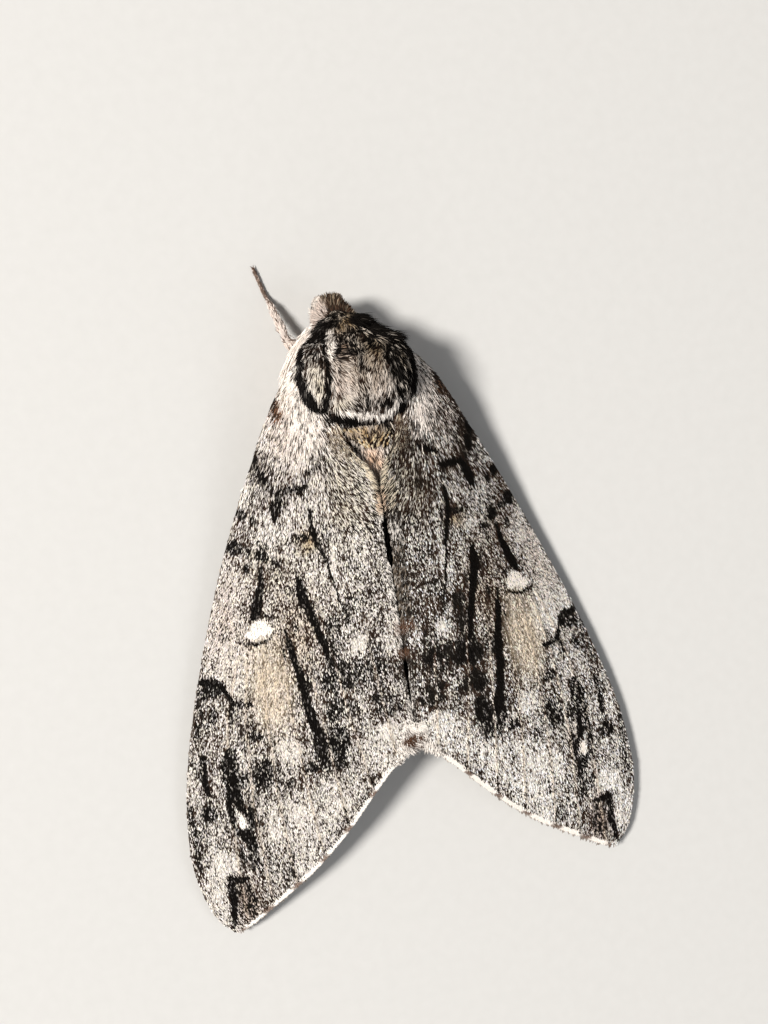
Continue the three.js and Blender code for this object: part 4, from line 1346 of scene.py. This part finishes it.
def add_body_coat(points, triangles):
    rng = np.random.default_rng(77)
    place, normal = sampled(points, triangles, coat_density, rng)
    x, y, z = place.T
    draw = draws(rng, x.shape)
    which, along, leg_way, on_leg = leg_share(place)
    lie = along_skin(unit(body_lie(place, normal) + rng.normal(0, 0.16, place.shape)), normal)
    head, rear = rise(y, 18.6, 0.8), fall(y, 10.5, 2.0)
    brow, palp = brow_share(place), palp_share(place)
    snout = rise(y, 20.9, 0.4) * (1 - palp)
    length = 0.95 - 0.35 * head - 0.15 * rear + 0.3 * brow - 0.25 * palp + 0.3 * snout
    length = (length + 0.85 * shoulder_share(place)) * draw(0.75, 1.2)
    width = (0.10 - 0.02 * head + 0.06 * rear) * draw(0.8, 1.2)
    lift = 0.30 - 0.1 * rear + 0.2 * brow - 0.22 * palp + draw(-0.08, 0.1)
    darkness, pale = body_look(place + lie * (0.5 * length)[:, None], normal)
    # The dark hairs cluster at the size of the locks: partly the coat's own mix of dark and pale hairs,
    # partly painted shade between the locks.
    grain = evenly(noise(81, x / 0.2, y / 0.5, z / 0.2) * 0.65 + draw(0, 0.45))
    brown = 0.35 * noise(82, x / 0.9, y / 0.9, z / 0.9) * (1 - rise(darkness, 0.5, 0.3))
    dark = blended(blended(DARK * 0.4, BLACK, rise(darkness, 0.55, 0.25)), BROWN * 0.7, brown)
    colour = peppered(pale, dark, darkness, grain) * draw(0.75, 1.15)[:, None]
    around = np.arctan2(z - trunk_section(y)[0], x - midline(y)) / (2 * np.pi) + 0.5
    on_thorax = (y <= HEAD_REAR) & (y > THORAX_REAR)
    regions = {
        "head": (y > HEAD_REAR, HEAD_REAR, 22.2),
        "thorax_left": (on_thorax & (x < 0), THORAX_REAR, HEAD_REAR),
        "thorax_right": (on_thorax & (x >= 0), THORAX_REAR, HEAD_REAR),
        "abdomen": (y <= THORAX_REAR, -19.8, THORAX_REAR),
    }
    for region, (chosen, rear_y, front_y) in regions.items():
        uv = vectors(around, (y - rear_y) / (front_y - rear_y))
        coat = [part[chosen & ~on_leg] for part in (place, normal, lie, length, width, lift, colour, uv)]
        hair_piece(f"coat_{region}", *coat, BODY_HAIR, "coat")
    add_leg_coat(*[part[on_leg] for part in (place, normal, which, along, leg_way)], rng)


def leg_colours(along, grain):
    """Pinkish white scales, turning red-brown with pale joints on the foot."""
    brown = rise(along, FOOT_FROM, 0.12) * 0.75
    pale = blended(blended(WHITE, PINK, 0.45), BROWN * 1.4, brown * 0.8)
    dark = blended(MID_GREY, BROWN * 0.7, 0.6)
    joint = peak(((along - 2 / 3) * 3 * TARSOMERES) % 1, 0.5, 0.22) * (along > 2 / 3)
    pale = blended(pale, WHITE, 0.5 * joint)
    return blended(pale, dark, smooth((0.22 + 0.3 * brown - grain) / 0.15 + 0.5))


def add_leg_coat(place, normal, which, along, way, rng):
    draw = draws(rng, along.shape)
    lie = along_skin(unit(way + rng.normal(0, 0.12, place.shape)), normal)
    foot = rise(along, FOOT_FROM, 0.08)
    length = (0.55 - 0.30 * foot) * draw(0.8, 1.2)
    near_knee = (which == 0) * within(along, 0.12, 0.42, 0.1, 0.06) * (draw() < 0.65)
    lie = unit(lie + 3.5 * near_knee[:, None] * KNEE_LIE)
    width = (0.12 - 0.03 * foot) * draw(0.8, 1.2)
    lift = 0.14 + draw(-0.05, 0.10) - 0.05 * foot
    length = length + KNEE_HAIR * near_knee * draw(0.3, 1.0)
    colour = leg_colours(along, evenly(draw())) * draw(0.85, 1.1)[:, None]
    around = np.arctan2(normal[:, 2], normal[:, 0]) / (2 * np.pi) + 0.5
    uv = vectors((which + around) / len(LEGS), along)
    hair_piece("coat_legs", place, normal, lie, length, width, lift, colour, uv, LEG_SCALE, "leg")


def add_body():
    shells = [trunk_shell(), palp_shell(-1), palp_shell(1)]
    for leg in LEGS:
        shells += [swept(path, radius) for path, radius in leg_tubes(leg)]
    points, quads = voxel_skin(shells)
    points[:, 2] = np.maximum(points[:, 2], 0.012)
    triangles = np.concatenate([quads[:, [0, 1, 2]], quads[:, [0, 2, 3]]])
    corner = points[triangles]
    face_normal = np.cross(corner[:, 1] - corner[:, 0], corner[:, 2] - corner[:, 0])
    normals = np.zeros_like(points)
    for k in range(3):
        np.add.at(normals, triangles[:, k], face_normal)
    darkness, pale = body_look(points, unit(normals))
    colours = blended(pale, DARK, 0.35 + 0.6 * darkness) * 0.8
    _, along, _, on_leg = leg_share(points)
    colours[on_leg] = leg_colours(along[on_leg], 0.3) * 0.7
    skin = mesh_piece("body_skin", points, quads, BODY_SKIN, colours)
    nodes = ["head", "collar", "thorax", "tegula_left", "tegula_right", "metathorax"]
    nodes += ["palp_left", "palp_right"]
    nodes += [f"abdomen_{i + 1}" for i in range(7)]
    nodes += [f"{part}_{leg}" for leg in LEGS for part in ("femur", "tibia", "tarsus")]
    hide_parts(*nodes)
    add_body_coat(points, triangles)


FACE_HAIRS = 3400
FACE_TURN = (-1.9, 1.3)  # from left to right round the crown, in radians from straight ahead
FACE = {"y": 19.7, "reach": 2.15, "half_width": 1.5, "z": 5.35}


def add_face_fringe():
    """Hair that stands out round the crown, over the eyes and the palps."""
    rng, draw = dice(95, FACE_HAIRS)
    turn, share = draw(*FACE_TURN), draw(0.55, 1.0)
    y = FACE["y"] + FACE["reach"] * share * np.cos(turn)
    x = midline(y) + FACE["half_width"] * share * np.sin(turn)
    root = vectors(x, y, FACE["z"] + 0.9 * (1 - share) + draw(-0.35, 0.35))
    left, right, cheek = rise(-turn, 0.25, 0.5), rise(turn, 0.25, 0.5), rise(-turn, 0.9, 0.4)
    ridge = fall(share, 0.68, 0.05)
    lie = vectors(0.7 * np.sin(turn), np.cos(turn) + 0.25, -0.12) + rng.normal(0, 0.2, root.shape)
    lie[:, 0] -= 0.3 * cheek
    length = (0.86 - 0.08 * left - 0.3 * right - 0.36 * ridge) * draw(0.7, 1.15) + 0.4 * cheek
    tip = root + unit(lie) * length[:, None]
    pale = blended(TAN * 0.62, blended(WHITE, PINK, 0.5), left)
    level = 0.55 - 0.28 * left + 0.2 * right + 0.4 * ridge
    grain = 0.7 * draw() + 0.3 * noise(96, x / 0.15, y / 0.15)
    dark = blended(DARK, BROWN, 0.5 * draw())
    colour = peppered(pale, dark, level, grain) * draw(0.6, 1.1)[:, None]
    uv = vectors((turn - FACE_TURN[0]) / (FACE_TURN[1] - FACE_TURN[0]), share)
    tufts("head_face_fringe", root, tip, UP, draw(0.07, 0.11), 0.045,
          colour, uv, BODY_HAIR, bend=0.06)


SHOULDER_HAIRS = 4800
SHOULDER_REAR = 13.2
SHOULDERS = {  # front of the hair, its longest hairs, and how far it stands off over the wing's root
    "left": {"front": 19.3, "reach": 2.1, "off": 1.25, "ahead": 0.7, "lie": (-0.48, -0.88), "stray": 0.08},
    "right": {"front": 20.2, "reach": 1.6, "off": 0.0, "ahead": 0.0, "lie": (0.75, -0.7), "stray": 0.14},
}


def add_shoulder_hair():
    """White hair below each shoulder pad, over the root of the wing and the folded feeler."""
    for name, side in SIDES.items():
        shoulder = SHOULDERS[name]
        rng, draw = dice(97 + side, SHOULDER_HAIRS)
        y = draw(SHOULDER_REAR, shoulder["front"])
        off = draw() * rise(y, SHOULDER_REAR, 1.5)
        y = y + shoulder["ahead"] * off * rise(y, 18.0, 1.0)
        z = draw(3.4, 5.2) + 0.35 * rise(y, 18.5, 1.5) - 0.5 * off
        x = side * (trunk_half_width(y) * 0.97 - 0.45 + shoulder["off"] * off) + midline(y)
        root = vectors(x, y, z)
        ahead = rise(y, 17.8, 1.2)
        outward, along = shoulder["lie"]
        lie = vectors(outward + 0.2 * side * ahead, along + 0.3 * ahead, 0.1)
        lie = unit(lie + rng.normal(0, shoulder["stray"], root.shape))
        length = shoulder["reach"] * draw(0.5, 1.0) * (1 - 0.3 * ahead)
        grain = 0.5 * draw() + 0.5 * noise(99, z / 0.2, y / 0.2)
        pale = blended(WHITE * 1.08, PINK, 0.3 * draw())
        colour = peppered(pale, MID_GREY, 0.2, grain, 0.2)
        uv = vectors((z - 2.9) / 2.8, (y - SHOULDER_REAR) / 7)
        tufts(f"shoulder_{name}_hair", root, root + lie * length[:, None], UP, draw(0.08, 0.12), 0.05,
              colour, uv, BODY_HAIR, bend=0.08)


def trunk_height(x, y):
    """Height of the trunk's upper face, without its coat."""
    middle, half_width, half_height = trunk_section(y, COAT_DEPTH(y))
    return middle + half_height * np.sqrt(np.clip(1 - (x / half_width) ** 2, 0, 1))


WAIST_HAIRS = 1100


def add_waist_hair():
    """Hair from the rear corners of the thorax over the inner edges of the wings."""
    for name, side in SIDES.items():
        rng, draw = dice(103 + side, WAIST_HAIRS)
        y = draw(9.0, 11.4)
        x = draw(2.8, 3.9) - 0.4 * fall(y, 10.4, 1.0)
        root = vectors(side * x, y, trunk_height(x, y) + 0.1)
        lie = unit(np.array((-0.2 * side, -1.0)) + rng.normal(0, 0.2, (WAIST_HAIRS, 2)))
        tip_x, tip_y = moved(side * x, y, lie, draw(0.9, 1.5))
        height = np.maximum(trunk_height(np.abs(tip_x), tip_y), forewing_top(tip_x, tip_y))
        tip = vectors(tip_x, tip_y, height + draw(0.08, 0.3))
        pale = blended(WHITE, CREAM, draw())
        pale = blended(pale, GOLD * 0.8, 0.5 * draw())
        level = 0.5 if side < 0 else 0.72
        colour = peppered(pale, blended(DARK, BROWN, 0.3), level, draw())
        uv = vectors((x - 1.8) / 2.1, (y - 9.0) / 2.4)
        tufts(f"waist_{name}_hair", root, tip, UP, draw(0.08, 0.12), 0.05,
              colour, uv, BODY_HAIR, bend=0.08)


GOLD_ROWS = (10.25, 10.0, 9.75, 9.5, 9.25, 9.0)  # from front to rear, behind the thorax
GOLD_STRIPE = 0.46  # from one bundle of golden scales to the next
GOLD_MIDDLE = -0.2


def add_gold_scales():
    """Broad golden scales in rows over the metathorax."""
    rng = np.random.default_rng(91)
    x, y = [], []
    for number, row in enumerate(GOLD_ROWS):
        half = 3.1 - 0.34 * number
        across = np.arange(-half, half, 0.17) + 0.08 * (number % 2) + 0.06 * number
        x.append(across)
        y.append(row + 0.035 * across ** 2 - 0.12 * across)
    x, y = np.concatenate(x), np.concatenate(y)
    draw = draws(rng, x.shape)
    x, y = x + rng.normal(0, 0.05, x.shape), y + rng.normal(0, 0.07, x.shape)
    across = x - GOLD_MIDDLE
    inward = -0.9 * np.sign(across) * smooth(np.abs(across) / 0.9)
    lie = unit(vectors(inward + rng.normal(0, 0.25, x.shape), -1.0))
    tip_x, tip_y = moved(x, y, lie, draw(0.5, 0.72))
    root = vectors(x, y, trunk_height(x, y) + 0.16)
    tip = vectors(tip_x, tip_y, trunk_height(tip_x, tip_y) + draw(0.25, 0.42))
    stripes = np.sin(2 * np.pi * (x - 0.8 * np.sign(across) * y) / GOLD_STRIPE)
    level = 0.42 - 0.5 * stripes + 0.2 * rise(x, 1.4, 0.8)
    golden = blended(GOLD * 0.8, CREAM, 0.8 * draw())
    colour = peppered(golden, BROWN * 0.08, level, draw())
    uv = vectors((x + 3.5) / 7, (y - 8.5) / 3.5)
    tufts("metathorax_gold_scales", root, tip, UP, draw(0.17, 0.25), 0.05,
          colour, uv, BODY_HAIR, bend=0.08)


# ------------------------------------------------------------------ eyes, feelers, tongue and claws
EYE_PLACE = (1.04, 20.35, 3.87)
EYE_SHAPE = np.array((0.92, 1.0, 1.08))
EYE_RADIUS = 1.08
ANTENNA_PATH = [
    (1.1, 20.75, 5.3), (1.75, 20.5, 5.3), (2.3, 19.9, 4.95), (2.95, 19.2, 4.55), (3.65, 18.5, 4.15),
    (4.5, 17.6, 3.7), (5.4, 16.2, 3.4), (6.5, 13.4, 3.3), (7.9, 9.8, 2.75), (9.2, 5.8, 2.0),
    (10.1, 2.6, 1.45), (10.2, 1.3, 1.15),
]
ANTENNA_RINGS = 70
COIL = {"y": 21.1, "z": 1.85, "inner": 0.34, "outer": 0.98, "turns": 1.08, "radius": 0.19}


def add_eyes(segments=64, rings=40):
    for name, side in SIDES.items():
        polar = (np.pi * np.arange(1, rings + 1) / (rings + 1))[:, None]
        angle = round_angles(segments)
        ball = vectors(np.sin(polar) * np.cos(angle), np.cos(polar), np.sin(polar) * np.sin(angle))
        ball = np.concatenate([ball.reshape(-1, 3), [(0, 1, 0), (0, -1, 0)]])
        x, y, z = EYE_PLACE
        points = np.array((midline(y) + side * x, y, z)) + ball * EYE_SHAPE * EYE_RADIUS
        eye = mesh_piece(f"eye_{name}_lens", points, ring_faces(rings, segments), EYE)
        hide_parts(f"eye_{name}")


def add_antennae(sides=12):
    """Ringed feelers, scaled pale in front and brown behind."""
    for name, side in SIDES.items():
        path = curved([(side * x + midline(y), y, z) for x, y, z in ANTENNA_PATH], 420)
        share = np.linspace(0, 1, len(path))
        swell = 0.155 + 0.05 * np.sin(np.pi * np.clip(share * 1.05, 0, 1)) - 0.13 * rise(share, 0.88, 0.12)
        rings = 0.018 * np.abs(np.sin(np.pi * ANTENNA_RINGS * share)) ** 0.5
        points, faces = swept(path, swell + rings, sides)
        ring = np.append(np.repeat(share, sides), (0, 1))
        around = np.append(np.tile(np.arange(sides), len(path)), (0, 0)) / sides
        pale = smooth(0.5 + np.cos(2 * np.pi * (around - 0.25)))
        colour = evenly_blended(blended(WHITE, PINK, 0.3), BROWN * 0.7, 0.85 * (1 - pale))
        colour = blended(colour, WHITE * 1.05, fall(ring, 0.3, 0.08))
        colour = colour * (0.45 + 0.55 * np.abs(np.sin(np.pi * ANTENNA_RINGS * ring)))[:, None]
        feeler = mesh_piece(f"antenna_{name}_ringed", points, faces, FEELER, colour)
        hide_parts(f"antenna_{name}")


def add_tongue():
    share = np.linspace(0, 1, 90)
    angle = 2 * np.pi * COIL["turns"] * share
    reach = COIL["inner"] + (COIL["outer"] - COIL["inner"]) * share
    y, z = COIL["y"] + reach * np.cos(angle), COIL["z"] + reach * np.sin(angle)
    radius = COIL["radius"] * (0.55 + 0.45 * share) * (1 + 0.05 * np.sin(2 * np.pi * 45 * share))
    points, faces = swept(vectors(midline(COIL["y"]), y, z), radius, 12)
    tongue = mesh_piece("proboscis_coil", points, faces, HORN, blended(BROWN * 0.8, BLACK, 0.3))
    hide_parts("proboscis")


def add_claws():
    """Two curved claws on each foot, and two spurs on each middle and hind tibia."""
    parts = []
    for leg in LEGS:
        _, knee, ankle, toe = joints_of(leg)
        foot = foot_path(ankle, toe)
        ahead, shin = unit(foot[-1] - foot[-6]), unit(ankle - knee)
        for turn in (-1, 1):
            start = foot[-1] + (0, 0, 0.02)
            side = unit(np.cross(ahead, UP)) * turn
            claw = [start, start + ahead * 0.16 + side * 0.10 + (0, 0, 0.05),
                    start + ahead * 0.30 + side * 0.15 - (0, 0, 0.10)]
            parts.append(swept(curved(claw, 10), np.linspace(0.055, 0.012, 10), 8))
            if not leg.startswith("fore"):
                out = unit(np.cross(shin, UP)) * turn
                spur = [ankle, ankle + shin * 0.35 + out * 0.25, ankle + shin * 0.85 + out * 0.34]
                parts.append(swept(curved(spur, 12), np.linspace(0.09, 0.02, 12), 8))
    vertices, faces = joined(parts)
    vertices[:, 2] = np.maximum(vertices[:, 2], 0.01)
    mesh_piece("claws_and_spurs", vertices, faces, HORN, BROWN * 0.5)


# ------------------------------------------------------------------ stage, light and camera
FOCAL = 52.52  # millimetres on a sensor 36 mm high
CAMERA_PLACE = (-23.96, 14.21, 137.22)
CAMERA_RIGHT = np.array((0.9672, -0.1629, 0.195))
CAMERA_UP = (0.1765, 0.9828, -0.0545)
FLOOR_REACH = 1.5  # metres from the middle of the floor to its edges
LIGHTS = {  # place and size in metres, watts and colour
    "key": ((-0.82, 0.20, 0.94), 0.28, 22.8, (1.0, 0.97, 0.93)),
    "fill": ((0.60, -0.50, 0.80), 0.70, 2.0, (0.95, 0.97, 1.0)),
    "back": ((-0.10, -0.80, 0.44), 0.60, 0.9, (1.0, 1.0, 1.0)),
}


def stand(thing, place, x_axis, z_axis):
    """Puts a camera or light in its place, looking back along its own z axis."""
    axes = np.stack([x_axis, np.cross(z_axis, x_axis), z_axis], axis=-1)
    thing.matrix_world = Matrix.Translation(place) @ Matrix(axes.tolist()).to_4x4()


def add_camera():
    data = bpy.data.cameras.new("camera")
    data.sensor_fit = "VERTICAL"
    data.sensor_height = 36
    data.lens = FOCAL
    data.clip_start = 0.005
    camera = added("camera", data)
    right = unit(CAMERA_RIGHT)
    stand(camera, placed(CAMERA_PLACE), right, unit(np.cross(right, CAMERA_UP)))
    bpy.context.scene.camera = camera


def add_lights():
    for name, (place, size, power, colour) in LIGHTS.items():
        data = bpy.data.lights.new(name, "AREA")
        data.shape = "DISK"
        data.size = size
        data.energy = power
        data.color = colour
        z_axis = unit(np.array(place))
        stand(added(name, data), place, unit(np.cross((0, 1, 0), z_axis)), z_axis)


def floor_material():
    material, nodes, links = new_material("floor")
    grain = add_grain(nodes, links, 900, 0.05, (0.6, 0.75))
    add_ramp(nodes, links, grain, (0, (0.60, 0.59, 0.57)), (1, (0.64, 0.63, 0.61)))
    return material


def add_stage():
    mesh = bpy.data.meshes.new("floor")
    corners = [(x * FLOOR_REACH, y * FLOOR_REACH, 0) for x, y in ((-1, -1), (1, -1), (1, 1), (-1, 1))]
    mesh.from_pydata(corners, [], [(0, 1, 2, 3)])
    mesh.materials.append(floor_material())
    floor = added("floor", mesh)
    world = bpy.data.worlds.new("studio")
    world.use_nodes = True
    background = world.node_tree.nodes["Background"]
    background.inputs["Color"].default_value = (0.97, 0.98, 1.0, 1)
    background.inputs["Strength"].default_value = 0.17
    bpy.context.scene.world = world
    bpy.context.scene.view_settings.view_transform = "Standard"
    add_lights()


add_camera()
add_stage()
add_wings()
add_body()
add_face_fringe()
add_shoulder_hair()
add_waist_hair()
add_gold_scales()
add_eyes()
add_antennae()
add_tongue()
add_claws()
